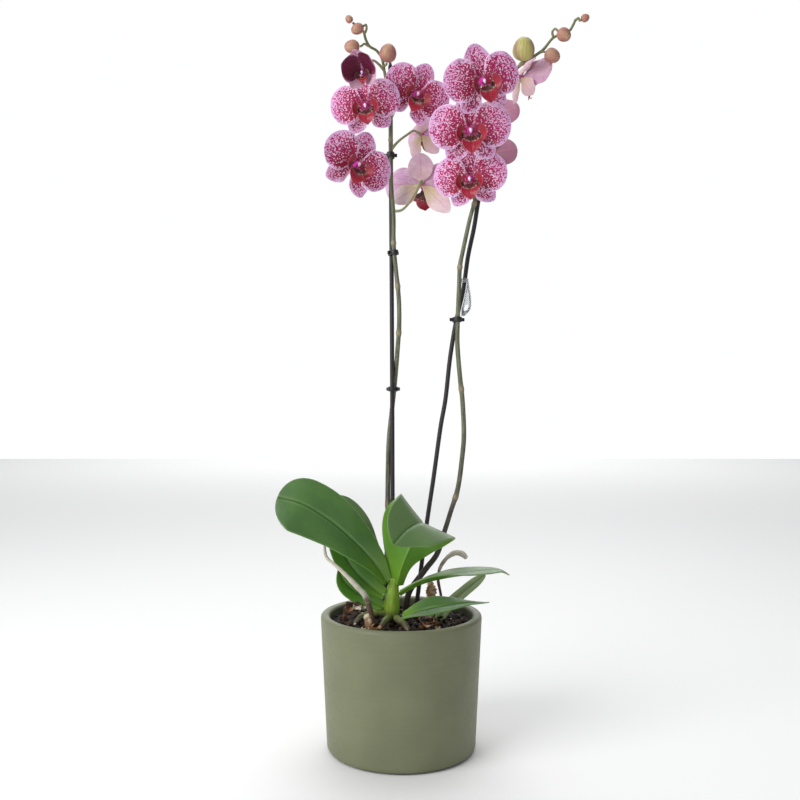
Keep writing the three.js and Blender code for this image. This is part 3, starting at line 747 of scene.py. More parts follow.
class Freckles(Effect):
    """Blots that stand apart where they are few and run into a net where they are many."""

    name = "Freckles"
    takes = {"Skin": ("Vector", 0.0), "Spacing": ("Float", 1.3), "Cover": ("Float", 0.5), "Soft": ("Float", 0.05)}
    gives = {"Blots": "Float"}

    def wire(self, wires: Wires, given: bpy.types.NodeOutputs) -> dict[str, Socket]:
        """Noise and cells of one size, cut at the height that gives the cover.

        Args:
            wires: the group's wires.
            given: the group's input sockets, by name.

        Returns:
            The output sockets by name.
        """
        scale = wires.sum("DIVIDE", 1.0, given["Spacing"])
        tint = wires.node("TexNoise", {"Vector": given["Skin"], "Scale": scale, "Detail": 1.0, "Distortion": 0.5})
        cells = wires.node("TexVoronoi", {"Vector": given["Skin"], "Scale": scale, "Randomness": 0.9})
        dots = wires.sum("SUBTRACT", 1.0, cells.outputs["Distance"])
        value = wires.sum("ADD", wires.times(tint.outputs["Fac"], 0.82), wires.times(dots, 0.18))
        level = wires.sum("SUBTRACT", 0.67, wires.times(given["Cover"], 0.31))
        low = wires.sum("SUBTRACT", level, given["Soft"])
        high = wires.sum("ADD", level, given["Soft"])
        return {"Blots": wires.smooth(value, low, high)}


MOTTLE = Mottle()
VEINS = Veins()
FRECKLES = Freckles()


@dataclass(frozen=True)
class Finish:
    """A finish with the plain numbers of its shader."""

    name: str
    roughness: float = 0.5
    subsurface: float = 0.0
    depth: float = 0.001
    scatter: Row = (1.0, 0.4, 0.3)
    coat: float = 0.0
    coat_roughness: float = 0.2
    sheen: float = 0.0
    specular: float = 0.5

    def material(self) -> Material:
        """Builds the material.

        Returns:
            The material.
        """
        made = bpy.data.materials.new(self.name)
        made.use_nodes = True
        made.node_tree.nodes.clear()
        wires = Wires(made.node_tree)
        wires.shader = wires.node("BsdfPrincipled")
        end = wires.node("OutputMaterial")
        wires.feed(end.inputs["Surface"], wires.shader.outputs["BSDF"])
        numbers = {
            "Roughness": self.roughness,
            "Subsurface Weight": self.subsurface,
            "Subsurface Scale": self.depth,
            "Subsurface Radius": self.scatter,
            "Coat Weight": self.coat,
            "Coat Roughness": self.coat_roughness,
            "Sheen Weight": self.sheen,
            "Specular IOR Level": self.specular,
        }
        for name, value in numbers.items():
            wires.shader.inputs[name].default_value = value
        self.wire(wires)
        return made

    def wire(self, wires: Wires) -> None:
        """Wires the colours, roughness and bump into the shader."""
        raise NotImplementedError


@dataclass(frozen=True)
class Glaze(Finish):
    """Matt sage-green glaze with faint lines from the wheel, and painted shade on its inner wall."""

    colour: Row = (0.192, 0.206, 0.117)
    shade: Row = (0.154, 0.166, 0.094)
    # inside is painted shade: the inner wall darkens to it as if in the pot's own shadow; wall gives the radii, in
    # metres, where that painted shade fades out
    inside: Row = (0.085, 0.09, 0.055)
    wall: Pair = (0.0642, 0.0662)

    def wire(self, wires: Wires) -> None:
        """Wide patches, fine rings round the pot, and painted shade on the inner wall.

        Args:
            wires: the material's wires.
        """
        place = wires.place()
        mottle = wires.mottle(place, 28.0)
        rings = wires.noise(wires.stretch(place, (6, 6, 900)), 1.0, 3.0)
        tone = wires.scaled(rings, 0.5, wires.times(mottle["Patches"], 0.5))
        body = wires.mix(tone, self.shade, self.colour)
        level = wires.stretch(place, (1, 1, 0))
        reach = wires.node("VectorMath", {0: level}, operation="LENGTH").outputs["Value"]
        # Painted shade: towards the inside the wall darkens to the inside colour, standing in for the pot's shadow on
        # its inner wall.
        body = wires.mix(wires.fade(reach, *self.wall, 0.8), body, self.inside)
        rough = wires.smooth(mottle["Grain"], 0.2, 0.8, 0.42, 0.56)
        height = wires.scaled(mottle["Grain"], 0.4, rings)
        wires.dress(body, height, 0.25, 0.0003, rough)


@dataclass(frozen=True)
class Bark(Finish):
    """Damp bark chips: nearly black to red-brown, by the tone painted on each chip."""

    stops: Stops = (
        (0.0, (0.008, 0.005, 0.004)),
        (0.45, (0.028, 0.016, 0.011)),
        (0.8, (0.09, 0.045, 0.024)),
        (0.95, (0.26, 0.13, 0.06)),
        (1.0, (0.75, 0.7, 0.62)),
    )

    def wire(self, wires: Wires) -> None:
        """Each chip's tone, with grain along it.

        Args:
            wires: the material's wires.
        """
        place = wires.place()
        grain = wires.noise(place, 900.0, 4.0, 0.7, 1.0)
        tone = wires.scaled(wires.sum("SUBTRACT", grain, 0.5), 0.5, wires.paint("tone"))
        rough = wires.smooth(grain, 0.3, 0.7, 0.55, 0.9)
        wires.dress(wires.ramp(tone, self.stops), grain, 0.7, 0.0008, rough)


@dataclass(frozen=True)
class LeafSkin(Finish):
    """A waxy leaf: deep green above, yellow-green beneath and at the base, with painted shade in the channel down the
    middle, painted highlights beside it and along the rim, and a painted grey sheen above.
    """

    upper: Row = (0.034, 0.115, 0.018)
    upper_light: Row = (0.062, 0.165, 0.026)
    under: Row = (0.11, 0.27, 0.022)
    under_dark: Row = (0.075, 0.2, 0.022)
    base: Row = (0.17, 0.34, 0.03)
    young: Row = (0.085, 0.24, 0.018)
    # sheen_grey: painted sheen, the grey-green that the glossy upper face shows where it reflects the bright room
    sheen_grey: Row = (0.3, 0.37, 0.19)
    # channel_shade: painted shade in the crease down the middle; channel_highlight: painted highlight on the crease's
    # shoulders
    channel_shade: Row = (0.018, 0.06, 0.01)
    channel_highlight: Row = (0.12, 0.26, 0.05)
    keel: Row = (0.2, 0.4, 0.05)
    # rim: painted highlight where light catches the leaf's edge
    rim: Row = (0.16, 0.3, 0.06)

    def wire(self, wires: Wires) -> None:
        """Patches, fine veins, the middle line in painted shade with painted highlights beside it, a painted highlight
        along the rim, and a painted grey sheen.

        Args:
            wires: the material's wires.
        """
        skin = wires.paint("skin", True)
        across = wires.paint("across")
        share = wires.paint("along")
        front = wires.smooth(wires.paint("front"), 0.35, 0.65)
        mottle = wires.mottle(skin, 0.045)
        veins = wires.effect(VEINS, skin=skin, across=across, count=34.0, wander=0.25)
        patches = wires.times(mottle["Patches"], 0.7)
        tone = wires.scaled(veins["Height"], 0.22, patches)
        top = wires.mix(tone, self.upper, self.upper_light)
        top = wires.mix(wires.paint("fresh"), top, self.young)
        # painted sheen: each leaf's upper face is mixed towards grey-green by its painted amount
        top = wires.mix(wires.paint("dusty"), top, self.sheen_grey)
        # the middle crease: painted shade in it and painted highlights on its shoulders, upper face only
        away = wires.sum("ABSOLUTE", wires.node("SeparateXYZ", {0: skin}).outputs["X"])
        line = wires.fade(away, 0.2, 1.1)
        beside = wires.times(wires.smooth(away, 0.8, 1.4), wires.fade(away, 1.5, 3.2))
        top = wires.layer(top, self.channel_highlight, beside, 0.45)
        top = wires.layer(top, self.channel_shade, line, 0.6)
        low = wires.mix(tone, self.under, self.under_dark)
        low = wires.layer(low, self.keel, line, 0.5)
        both = wires.mix(front, low, top)
        foot = wires.fade(share, 0.02, 0.3)
        both = wires.layer(both, self.base, foot, 0.75)
        # painted highlight: a lighter band along the edge, where light catches the leaf's thickness
        rim = wires.fade(wires.paint("inset"), 0.15, 0.9, 0.4)
        both = wires.mix(rim, both, self.rim)
        rough = wires.smooth(mottle["Grain"], 0.2, 0.8, 0.3, 0.44)
        height = wires.scaled(veins["Height"], 0.6, mottle["Grain"])
        wires.dress(both, height, 0.22, 0.00035, rough)


@dataclass(frozen=True)
class PetalSkin(Finish):
    """A petal: lilac with crimson freckles that run together towards the middle, pale behind, with painted shade on the
    back where the flower faces away.
    """

    # deep: the half-open flower's look: denser blots, painted shade inside its cup, pale bare parts and specks
    deep: float = 0.0
    lilac: Row = (0.76, 0.44, 0.7)
    rose: Row = (0.92, 0.68, 0.78)
    border: Row = (0.72, 0.42, 0.72)
    rim: Row = (0.86, 0.68, 0.84)
    crimson: Row = (0.45, 0.004, 0.14)
    crimson_heart: Row = (0.28, 0.001, 0.024)
    magenta: Row = (0.5, 0.07, 0.36)
    dark: Row = (0.24, 0.002, 0.06)
    foot: Row = (0.36, 0.006, 0.08)
    # cup_shade: dark maroon painted shade inside the half-open flower's cup
    cup_shade: Row = (0.085, 0.003, 0.022)
    young_rim: Row = (0.74, 0.46, 0.6)
    speck: Row = (0.55, 0.12, 0.3)
    back: Row = (0.68, 0.42, 0.64)
    back_light: Row = (0.8, 0.62, 0.74)
    back_sepal: Row = (0.8, 0.64, 0.66)
    back_foot: Row = (0.68, 0.6, 0.3)
    # back_shade: dusky mauve painted shade for the backs of flowers turned away from the light
    back_shade: Row = (0.4, 0.15, 0.22)
    back_vein: Row = (0.52, 0.16, 0.3)
    back_blot: Row = (0.5, 0.1, 0.32)
    back_middle: Row = (0.6, 0.3, 0.3)

    def wire(self, wires: Wires) -> None:
        """Freckles by the distance from the middle and the rim, over a pale ground with fine veins, with painted shade
        inside a half-open cup and on the backs of flowers turned away.

        Args:
            wires: the material's wires.
        """
        skin = wires.paint("skin", True)
        share = wires.paint("along")
        inset = wires.paint("inset")
        low = wires.paint("low")
        sepal = wires.paint("sepal")
        front = wires.smooth(wires.paint("front"), 0.35, 0.65)
        heart = wires.fade(share, 0.05, 0.95)
        drift = wires.noise(skin, 0.11, 2.0)
        shore = wires.smooth(wires.scaled(drift, 3.0, inset), 0.6, 7.5, 0.3, 1.0)
        cover = wires.scaled(heart, 0.46, 0.55 + 0.45 * self.deep)
        cover = wires.scaled(low, 0.14, cover)
        cover = wires.sum("SUBTRACT", cover, wires.times(wires.smooth(sepal, 0.5, 1.0), 0.16))
        cover = wires.times(cover, shore)
        grain = wires.stretch(skin, (1.0, 0.82, 1.0))
        blots = wires.effect(FRECKLES, skin=grain, spacing=1.3, cover=cover, soft=0.025)["Blots"]
        blots = wires.times(blots, wires.smooth(inset, 0.2, 1.2, 0.35, 1.0))
        veins = wires.effect(VEINS, skin=skin, across=wires.paint("across"), count=15.0, wander=0.5)
        ground = wires.mix(heart, self.lilac, self.rose)
        ground = wires.mix(wires.fade(inset, 0.6, 4.6, 0.85), ground, self.border)
        ground = wires.mix(wires.fade(inset, 0.1, 1.0, 0.8), ground, self.rim)
        red = wires.sum("MULTIPLY_ADD", low, 0.4, wires.times(heart, 0.85), clamp=True)
        crimson = wires.mix(red, self.crimson, self.crimson_heart)
        crimson = wires.mix(wires.fade(inset, 0.6, 4.0, 0.7), crimson, self.magenta)
        crimson = wires.layer(crimson, self.dark, wires.smooth(drift, 0.45, 0.7), 0.3)
        face = wires.mix(blots, ground, crimson)
        face = wires.mix(wires.fade(share, 0.05, 0.17, 0.8), face, self.foot)
        if self.deep:
            # painted shade inside the half-open cup: away from the rim the inner face darkens to maroon
            shade = wires.smooth(inset, 1.0, 2.6, 0.0, 0.88 * self.deep)
            face = wires.mix(shade, face, self.cup_shade)
            side = wires.times(wires.smooth(sepal, 0.5, 0.9), wires.smooth(share, 0.12, 0.4))
            top = wires.times(wires.smooth(sepal, 0.1, 0.35), wires.smooth(share, 0.6, 0.8))
            bare = wires.sum("MAXIMUM", side, top)
            bare = wires.sum("MAXIMUM", bare, wires.fade(inset, 0.8, 2.6, 0.9))
            face = wires.mix(bare, face, self.young_rim)
            specks = wires.effect(FRECKLES, skin=skin, spacing=1.3, cover=0.28, soft=0.02)["Blots"]
            specks = wires.times(specks, wires.smooth(inset, 1.5, 9.0, 0.75, 0.1))
            face = wires.mix(specks, face, self.speck)
        pale = wires.mix(wires.smooth(drift, 0.35, 0.7), self.back, self.back_light)
        cream = wires.mix(wires.fade(share, 0.05, 0.75), self.back_sepal, self.back_foot)
        pale = wires.mix(sepal, pale, cream)
        # painted shade: the backs of flowers turned away darken to dusky mauve by the painted blush value
        pale = wires.mix(wires.paint("blush"), pale, self.back_shade)
        streak = wires.times(veins["Lines"], wires.smooth(wires.noise(skin, 0.2, 1.0), 0.35, 0.6))
        pale = wires.layer(pale, self.back_vein, streak, 0.5)
        pale = wires.layer(pale, self.back_blot, blots, 0.1)
        middle = wires.fade(wires.sum("ABSOLUTE", wires.paint("across")), 0.0, 0.1, 0.55)
        pale = wires.mix(middle, pale, self.back_middle)
        rough = wires.smooth(drift, 0.3, 0.7, 0.55, 0.68)
        fine = wires.times(wires.noise(skin, 2.4, 2.0), 0.5)
        height = wires.scaled(veins["Height"], 0.8, fine)
        wires.dress(wires.mix(front, pale, face), height, 0.35, 0.0004, rough)


@dataclass(frozen=True)
class LipSkin(Finish):
    """A lip: red, dark in the throat with cream lines, and pale along its rim."""

    # deep: how much painted shade darkens the side lobes of the half-open flower
    deep: float = 0.0
    red: Row = (0.28, 0.002, 0.02)
    bright_red: Row = (0.42, 0.004, 0.034)
    vein: Row = (0.2, 0.002, 0.012)
    throat: Row = (0.05, 0.004, 0.005)
    stripe: Row = (0.6, 0.3, 0.16)
    cream: Row = (0.82, 0.5, 0.32)
    rim: Row = (0.8, 0.4, 0.42)
    callus: Row = (0.36, 0.12, 0.05)

    def wire(self, wires: Wires) -> None:
        """Red with a dark foot, cream lines between, a light rim, and in the half-open flower painted shade on the side
        lobes.

        Args:
            wires: the material's wires.
        """
        skin = wires.paint("skin", True)
        share = wires.paint("along")
        lobe = wires.paint("lobe")
        mottle = wires.mottle(skin, 0.35)
        veins = wires.effect(VEINS, skin=skin, across=wires.paint("across"), count=7.0, wander=0.7)
        red = wires.mix(mottle["Patches"], self.red, self.bright_red)
        red = wires.layer(red, self.vein, veins["Lines"], 0.35)
        ridge = wires.sum("SUBTRACT", wires.noise(skin, 0.4, 1.0), 0.5)
        edge = wires.scaled(ridge, 0.12, share)
        bow = wires.sum("POWER", wires.sum("ABSOLUTE", wires.paint("across")), 2.0)
        edge = wires.scaled(bow, 0.09, edge)
        edge = wires.sum("SUBTRACT", edge, wires.paint("throat"))
        dark = wires.fade(edge, -0.03, 0.02)
        # painted shade in the half-open flower: its side lobes, deep in the cup, take the throat's dark
        if self.deep:
            dark = wires.sum("MAXIMUM", dark, wires.fade(lobe, 0.75, 0.9, self.deep))
        cream = wires.times(wires.smooth(edge, -0.05, -0.025), wires.fade(edge, -0.005, 0.02))
        cream = wires.times(cream, wires.smooth(wires.noise(skin, 0.7, 1.0), 0.4, 0.55))
        stripe = wires.times(veins["Lines"], dark)
        body = wires.mix(dark, red, self.throat)
        body = wires.layer(body, self.stripe, stripe, 0.14)
        body = wires.layer(body, self.cream, cream, 0.75)
        rim = wires.fade(wires.paint("inset"), 0.05, 0.45, 0.3)
        body = wires.mix(wires.times(rim, lobe), body, self.rim)
        body = wires.mix(wires.paint("callus"), body, self.callus)
        wires.dress(body, veins["Height"], 0.35, 0.0004)


@dataclass(frozen=True)
class ColumnSkin(Finish):
    """A magenta column with a white cap."""

    deep: Row = (0.52, 0.012, 0.3)
    bright: Row = (0.75, 0.07, 0.5)
    cap: Row = (0.9, 0.84, 0.88)

    def wire(self, wires: Wires) -> None:
        """Magenta, darker to the foot, and the cap.

        Args:
            wires: the material's wires.
        """
        place = wires.place()
        mottle = wires.mottle(place, 700.0)
        body = wires.mix(mottle["Patches"], self.deep, self.bright)
        body = wires.mix(wires.paint("cap"), body, self.cap)
        wires.dress(body, mottle["Grain"], 0.2, 0.0002)


@dataclass(frozen=True)
class StemSkin(Finish):
    """A flower spike: olive green, brown at the foot, with pale rings."""

    green: Row = (0.075, 0.085, 0.045)
    light: Row = (0.2, 0.21, 0.13)
    brown: Row = (0.03, 0.015, 0.02)
    young: Row = (0.2, 0.22, 0.06)
    freckle: Row = (0.1, 0.06, 0.035)
    ring: Row = (0.34, 0.27, 0.16)
    stalk: Row = (0.26, 0.25, 0.11)
    stalk_light: Row = (0.44, 0.4, 0.23)

    def wire(self, wires: Wires) -> None:
        """Lines along it, and the colours by height and ring.

        Args:
            wires: the material's wires.
        """
        place = wires.place()
        high = wires.node("SeparateXYZ", {0: place}).outputs["Z"]
        lines = wires.noise(wires.stretch(place, (1400, 1400, 60)), 1.0, 3.0)
        mottle = wires.mottle(place, 160.0)
        green = wires.mix(wires.smooth(lines, 0.35, 0.7), self.green, self.light)
        tone = wires.scaled(mottle["Patches"], 0.05, high)
        green = wires.mix(wires.fade(tone, 0.19, 0.33, 0.85), green, self.brown)
        green = wires.mix(wires.smooth(high, 0.57, 0.63, 0.0, 0.6), green, self.young)
        freckle = wires.effect(FRECKLES, skin=wires.stretch(place, (1000, 1000, 600)), spacing=1.1, cover=0.2)
        green = wires.layer(green, self.freckle, freckle["Blots"], 0.45)
        ring = wires.paint("ring")
        green = wires.layer(green, self.ring, ring, 0.75)
        fresh = wires.mix(wires.smooth(lines, 0.35, 0.7), self.stalk, self.stalk_light)
        green = wires.mix(wires.paint("stalk"), green, fresh)
        wires.dress(green, lines, 0.3, 0.0003, wires.smooth(lines, 0.3, 0.7, 0.4, 0.55))


@dataclass(frozen=True)
class StakeStain(Finish):
    """A dark brown stick with long streaks."""

    dark: Row = (0.01, 0.007, 0.009)
    light: Row = (0.036, 0.026, 0.03)

    def wire(self, wires: Wires) -> None:
        """Streaks along the stick.

        Args:
            wires: the material's wires.
        """
        place = wires.place()
        streaks = wires.noise(wires.stretch(place, (1500, 1500, 25)), 1.0, 4.0, 0.6)
        body = wires.mix(wires.smooth(streaks, 0.35, 0.72), self.dark, self.light)
        wires.dress(body, streaks, 0.4, 0.0003, wires.smooth(streaks, 0.3, 0.7, 0.42, 0.62))


@dataclass(frozen=True)
class ClipPlastic(Finish):
    """Moulded black plastic."""

    dark: Row = (0.008, 0.008, 0.009)
    light: Row = (0.02, 0.02, 0.022)

    def wire(self, wires: Wires) -> None:
        """A fine moulded grain.

        Args:
            wires: the material's wires.
        """
        mottle = wires.mottle(wires.place(), 500.0)
        body = wires.mix(mottle["Patches"], self.dark, self.light)
        wires.dress(body, mottle["Grain"], 0.2, 0.0001)


@dataclass(frozen=True)
class ClearPlastic(Finish):
    """Clear moulded plastic with a faint haze."""

    haze: Row = (0.75, 0.78, 0.79)
    clear: Row = (0.92, 0.94, 0.95)
    transmission: float = 0.8
    ior: float = 1.46

    def wire(self, wires: Wires) -> None:
        """Clear, with flow marks from the mould.

        Args:
            wires: the material's wires.
        """
        wires.shader.inputs["Transmission Weight"].default_value = self.transmission
        wires.shader.inputs["IOR"].default_value = self.ior
        mottle = wires.mottle(wires.place(), 260.0)
        flow = mottle["Patches"]
        body = wires.mix(flow, self.haze, self.clear)
        wires.dress(body, flow, 0.4, 0.0003, wires.smooth(flow, 0.2, 0.8, 0.08, 0.3))


@dataclass(frozen=True)
class BudSkin(Finish):
    """A closed bud with seams: pink-beige, or green where it is fresh."""

    warm: Row = (0.42, 0.17, 0.14)
    pale: Row = (0.5, 0.33, 0.19)
    rim: Row = (0.42, 0.19, 0.17)
    stripe: Row = (0.3, 0.07, 0.07)

    def wire(self, wires: Wires) -> None:
        """Colours along the bud, with veins and the seams between its petals.

        Args:
            wires: the material's wires.
        """
        share = wires.paint("along")
        place = wires.place()
        mottle = wires.mottle(place, 170.0)
        blush = wires.scaled(mottle["Patches"], 0.5, wires.times(share, 0.5))
        body = wires.mix(blush, self.warm, self.pale)
        veins = wires.effect(
            VEINS, skin=wires.stretch(place, (1000, 1000, 1000)), across=wires.paint("round"), count=36.0, wander=0.06
        )
        body = wires.layer(body, self.rim, wires.paint("flank"), 0.8)
        body = wires.layer(body, self.stripe, veins["Lines"], 0.3)
        body = wires.layer(body, self.stripe, wires.paint("seam"), 0.75)
        height = wires.scaled(veins["Height"], 0.5, mottle["Grain"])
        wires.dress(body, height, 0.25, 0.0003)


@dataclass(frozen=True)
class RootSkin(Finish):
    """The silver-grey skin of a root in the air, brown where it is old."""

    silver: Row = (0.58, 0.54, 0.45)
    brown: Row = (0.13, 0.075, 0.045)
    bloom: Row = (0.62, 0.6, 0.52)

    def wire(self, wires: Wires) -> None:
        """Patches of silver over brown.

        Args:
            wires: the material's wires.
        """
        place = wires.place()
        mottle = wires.mottle(place, 130.0)
        age = wires.scaled(mottle["Patches"], 0.35, wires.paint("age"))
        body = wires.mix(wires.smooth(age, 0.35, 0.85), self.silver, self.brown)
        body = wires.mix(wires.smooth(mottle["Grain"], 0.55, 0.75, 0.0, 0.5), body, self.bloom)
        wires.dress(body, mottle["Grain"], 0.6, 0.0006)


@dataclass(frozen=True)
class CrownSkin(Finish):
    """The plant's short stem: bright yellow-green with darker folds, and brown roots at its foot."""

    green: Row = (0.17, 0.33, 0.02)
    light: Row = (0.36, 0.5, 0.05)
    root: Row = (0.035, 0.03, 0.015)
    root_light: Row = (0.14, 0.12, 0.07)
    foot: Pair = (0.119, 0.13)

    def wire(self, wires: Wires) -> None:
        """Green by height, with fine lines up it.

        Args:
            wires: the material's wires.
        """
        place = wires.place()
        high = wires.node("SeparateXYZ", {0: place}).outputs["Z"]
        lines = wires.noise(wires.stretch(place, (900, 900, 70)), 1.0, 3.0)
        mottle = wires.mottle(place, 150.0)
        green = wires.mix(wires.smooth(lines, 0.35, 0.7), self.green, self.light)
        root = wires.mix(mottle["Patches"], self.root, self.root_light)
        low = wires.scaled(mottle["Grain"], 0.006, high)
        green = wires.mix(wires.fade(low, *self.foot), green, root)
        wires.dress(green, lines, 0.4, 0.0006)


@dataclass(frozen=True)
class SheathPaper(Finish):
    """A dry papery sheath: beige to orange-brown, with fibres along it."""

    stops: Stops = (
        (0.1, (0.035, 0.015, 0.01)),
        (0.45, (0.2, 0.085, 0.03)),
        (0.7, (0.42, 0.24, 0.11)),
        (0.85, (0.56, 0.44, 0.3)),
        (1.0, (0.72, 0.66, 0.56)),
    )

    def wire(self, wires: Wires) -> None:
        """Fibres and stains.

        Args:
            wires: the material's wires.
        """
        skin = wires.paint("skin", True)
        fibres = wires.noise(wires.stretch(skin, (3.2, 0.25, 1)), 1.0, 3.0)
        mottle = wires.mottle(skin, 0.22)
        tone = wires.scaled(mottle["Patches"], 0.4, wires.times(fibres, 0.5))
        tone = wires.sum("ADD", tone, wires.paint("bleach"))
        wires.dress(wires.ramp(tone, self.stops), fibres, 0.6, 0.0006)


# Sub-assemblies


@dataclass
class Pot:
    """The round ceramic pot, with the fixed frame's sizes."""

    height: float = 120.0
    rim_radius: float = 72.3
    base_radius: float = 66.4
    wall: float = 8.4
    floor: float = 9.0
    rim_crest: float = 68.4
    rim_round: float = 4.0
    foot_round: float = 5.0
    foot_flat: float = 40.0
    middle: float = 0.3
    sides: int = 200
    wall_steps: int = 24
    bend_steps: int = 12

    def outside(self, z: float) -> float:
        """The outer radius at a height."""
        return self.base_radius + (self.rim_radius - self.base_radius) * z / self.height

    def profile(self) -> list[Pair]:
        """The wall's section as radius and height, from the middle of the foot to the inner floor.

        Returns:
            Pairs of radius and height.
        """
        crest = (self.rim_crest, self.height)
        inner = self.outside(self.height) - self.wall
        shoulder = self.height - self.rim_round
        low, high = self.foot_round, shoulder
        rows = [(self.middle, 0.0), (self.foot_flat, 0.0), (self.outside(0) - low, 0.0)]
        rows += self.bend(rows[-1], (self.outside(0), 0), (self.outside(low), low))
        for k in range(1, self.wall_steps + 1):
            z = low + (high - low) * k / self.wall_steps
            rows.append((self.outside(z), z))
        rows += self.bend(rows[-1], (self.outside(self.height), self.height), crest)
        rows += self.bend(crest, (inner, self.height), (inner, shoulder))
        inside = self.outside(self.floor) - self.wall
        for k in range(1, self.bend_steps + 1):
            share = k / self.bend_steps
            rows.append((inner + (inside - inner) * share, shoulder + (self.floor - shoulder) * share))
        return rows + [(self.middle, self.floor)]

    def bend(self, start: Pair, corner: Pair, end: Pair) -> list[Pair]:
        """Points of a rounded corner after its start.

        Args:
            start: where it begins.
            corner: the sharp corner that it rounds.
            end: where it ends.

        Returns:
            The points, up to the end.
        """
        shares = [k / self.bend_steps for k in range(1, self.bend_steps + 1)]
        return [
            tuple((1 - t) ** 2 * a + 2 * t * (1 - t) * b + t * t * c for a, b, c in zip(start, corner, end))
            for t in shares
        ]

    def build(self, glaze: Material) -> None:
        """Turns the wall's section about the pot's axis.

        Args:
            glaze: its material.
        """
        turn = around(self.sides)
        rings = [
            np.stack([r * np.cos(turn), r * np.sin(turn), np.full_like(turn, z)], -1) for r, z in self.profile()
        ]
        piece("ceramic_pot", loft(np.array(rings)), glaze, ["pot"])


@dataclass
class PottingMix:
    """The dark mix: a bumpy bed with loose bark chips and a few white grains on it."""

    top: float = 112.0
    floor: float = 9.3
    radius: float = 63.3
    foot_radius: float = 58.1
    chips: int = 620
    grains: int = 16
    middle: float = 0.4
    chip_sides: int = 7
    seed: int = 19
    tones: tuple[float, ...] = (0.12, 0.25, 0.35, 0.45, 0.6, 0.78)
    clear_of: tuple[Row, ...] = ((-8, -4, 9), (-7.6, 6, 3), (12.5, 9, 3), (-13, 12, 3.4), (4.5, 5, 3.4), (37, 23, 2.4))

    def bed(self) -> Form:
        """The bed under the chips, with a bumpy top.

        Returns:
            The form.
        """
        turn = around(96)
        rows = [(self.middle, self.floor), (self.foot_radius, self.floor), (self.radius - 0.6, self.top - 3)]
        rows += [(r, self.top) for r in np.linspace(self.radius, self.middle, 40)]
        rings = []
        for k, (r, z) in enumerate(rows):
            x = r * np.cos(turn)
            y = r * np.sin(turn)
            swell = np.sin(x * 0.31 + 1) * np.sin(y * 0.27) + 0.6 * np.sin(x * 0.83) * np.sin(y * 0.77 + 2)
            lift = swell * 0.9 if k > 3 else 0 * swell
            rings.append(np.stack([x, y, z + lift - (1.0 if k > 2 else 0)], -1))
        return loft(np.array(rings)).painted(tone=0.25)

    def chip(self, draw: random.Random, place: Row, size: float, tone: float) -> Form:
        """One broken flake of bark.

        Args:
            draw: the random draws.
            place: its middle.
            size: half its length.
            tone: its place on the bark's colours.

        Returns:
            The form.
        """
        turn = around(self.chip_sides) + draw.random()
        rough = np.array([draw.uniform(0.65, 1.15) for _ in turn])
        thick = size * draw.uniform(0.12, 0.3)
        rings = []
        for level, share in ((-1, 0.7), (-0.4, 1.0), (0.5, 0.95), (1, 0.6)):
            wobble = np.array([draw.uniform(0.9, 1.1) for _ in turn])
            ring = np.stack([np.cos(turn), 0.62 * np.sin(turn), level * thick / size * wobble], -1)
            ring[:, :2] *= (rough * share * wobble)[:, None]
            rings.append(ring * size)
        tilt = Euler((draw.uniform(-0.7, 0.7), draw.uniform(-0.7, 0.7), draw.uniform(0, 6.3))).to_matrix().to_4x4()
        matrix = np.array(Matrix.Translation(place) @ tilt)
        return loft(np.array(rings)).moved(matrix).painted(tone=tone)

    def build(self, bark: Material) -> None:
        """Lays the bed and scatters the chips by a seeded rule.

        Args:
            bark: its material.
        """
        draw = random.Random(self.seed)
        forms = [self.bed()]
        while len(forms) <= self.chips + self.grains:
            reach = (self.radius - 3.5) * sqrt(draw.random())
            turn = draw.uniform(0, 2 * pi)
            x, y = reach * cos(turn), reach * sin(turn)
            grain = len(forms) > self.chips
            size = draw.uniform(0.7, 1.3) if grain else draw.uniform(1.6, 4.6) ** 1.06
            if any(hypot(x - cx, y - cy) < gap + size * 0.8 for cx, cy, gap in self.clear_of):
                continue
            size = min(size, self.radius - 0.5 - reach)
            z = self.top + draw.uniform(-1.2, 1.4)
            tone = 1.0 if grain else draw.choice(self.tones)
            if grain:
                forms.append(ellipsoid((x, y, z + 1.2), (size, size * 0.8, size * 0.7), 5, 7).painted(tone=tone))
            else:
                forms.append(self.chip(draw, (x, y, z), size, tone))
        piece("bark_mix", together(forms), bark, ["potting_mix"], flat=True)


@dataclass
class Crown:
    """The plant's short stem, with the roots that leave it over the mix."""

    line: Line = field(default_factory=lambda: [(-8, -4, 96), (-8.5, -4, 118), (-8, -4, 135), (-6.5, -5, 152)])
    radius: list[float] = field(default_factory=lambda: [7.0, 7.2, 6.4, 3.96])
    roots: list[Line] = field(
        default_factory=lambda: [
            [(-10, -6, 118), (-12, -16, 118), (-16, -27, 116), (-20, -36, 107)],
            [(-6, -7, 117), (-2, -18, 117), (4, -28, 115), (8, -37, 106)],
            [(-13, -2, 119), (-24, -3, 120), (-36, -8, 117), (-46, -10, 106)],
            [(-13, -1, 118), (-22, 12, 118), (-26, 26, 116), (-30, 36, 106)],
        ]
    )

    def build(self, skin: Material) -> None:
        """The stem with the folds of the leaf bases, and its roots.

        Args:
            skin: its material.
        """
        stem = bar(self.line, self.radius, sides=48, steps=40, flutes=7, depth=0.03)
        roots = []
        for k, line in enumerate(self.roots):
            shares = np.linspace(0, 1, 41)
            knobs = 1 + 0.1 * np.sin(shares * 23 + k * 2) * np.sin(shares * 9 + k)
            roots.append(bar(line, along([3.6, 3, 2.6], shares) * knobs, sides=16, steps=40))
        piece("leaf_crown", together([stem, *roots]), skin, ["crown"])


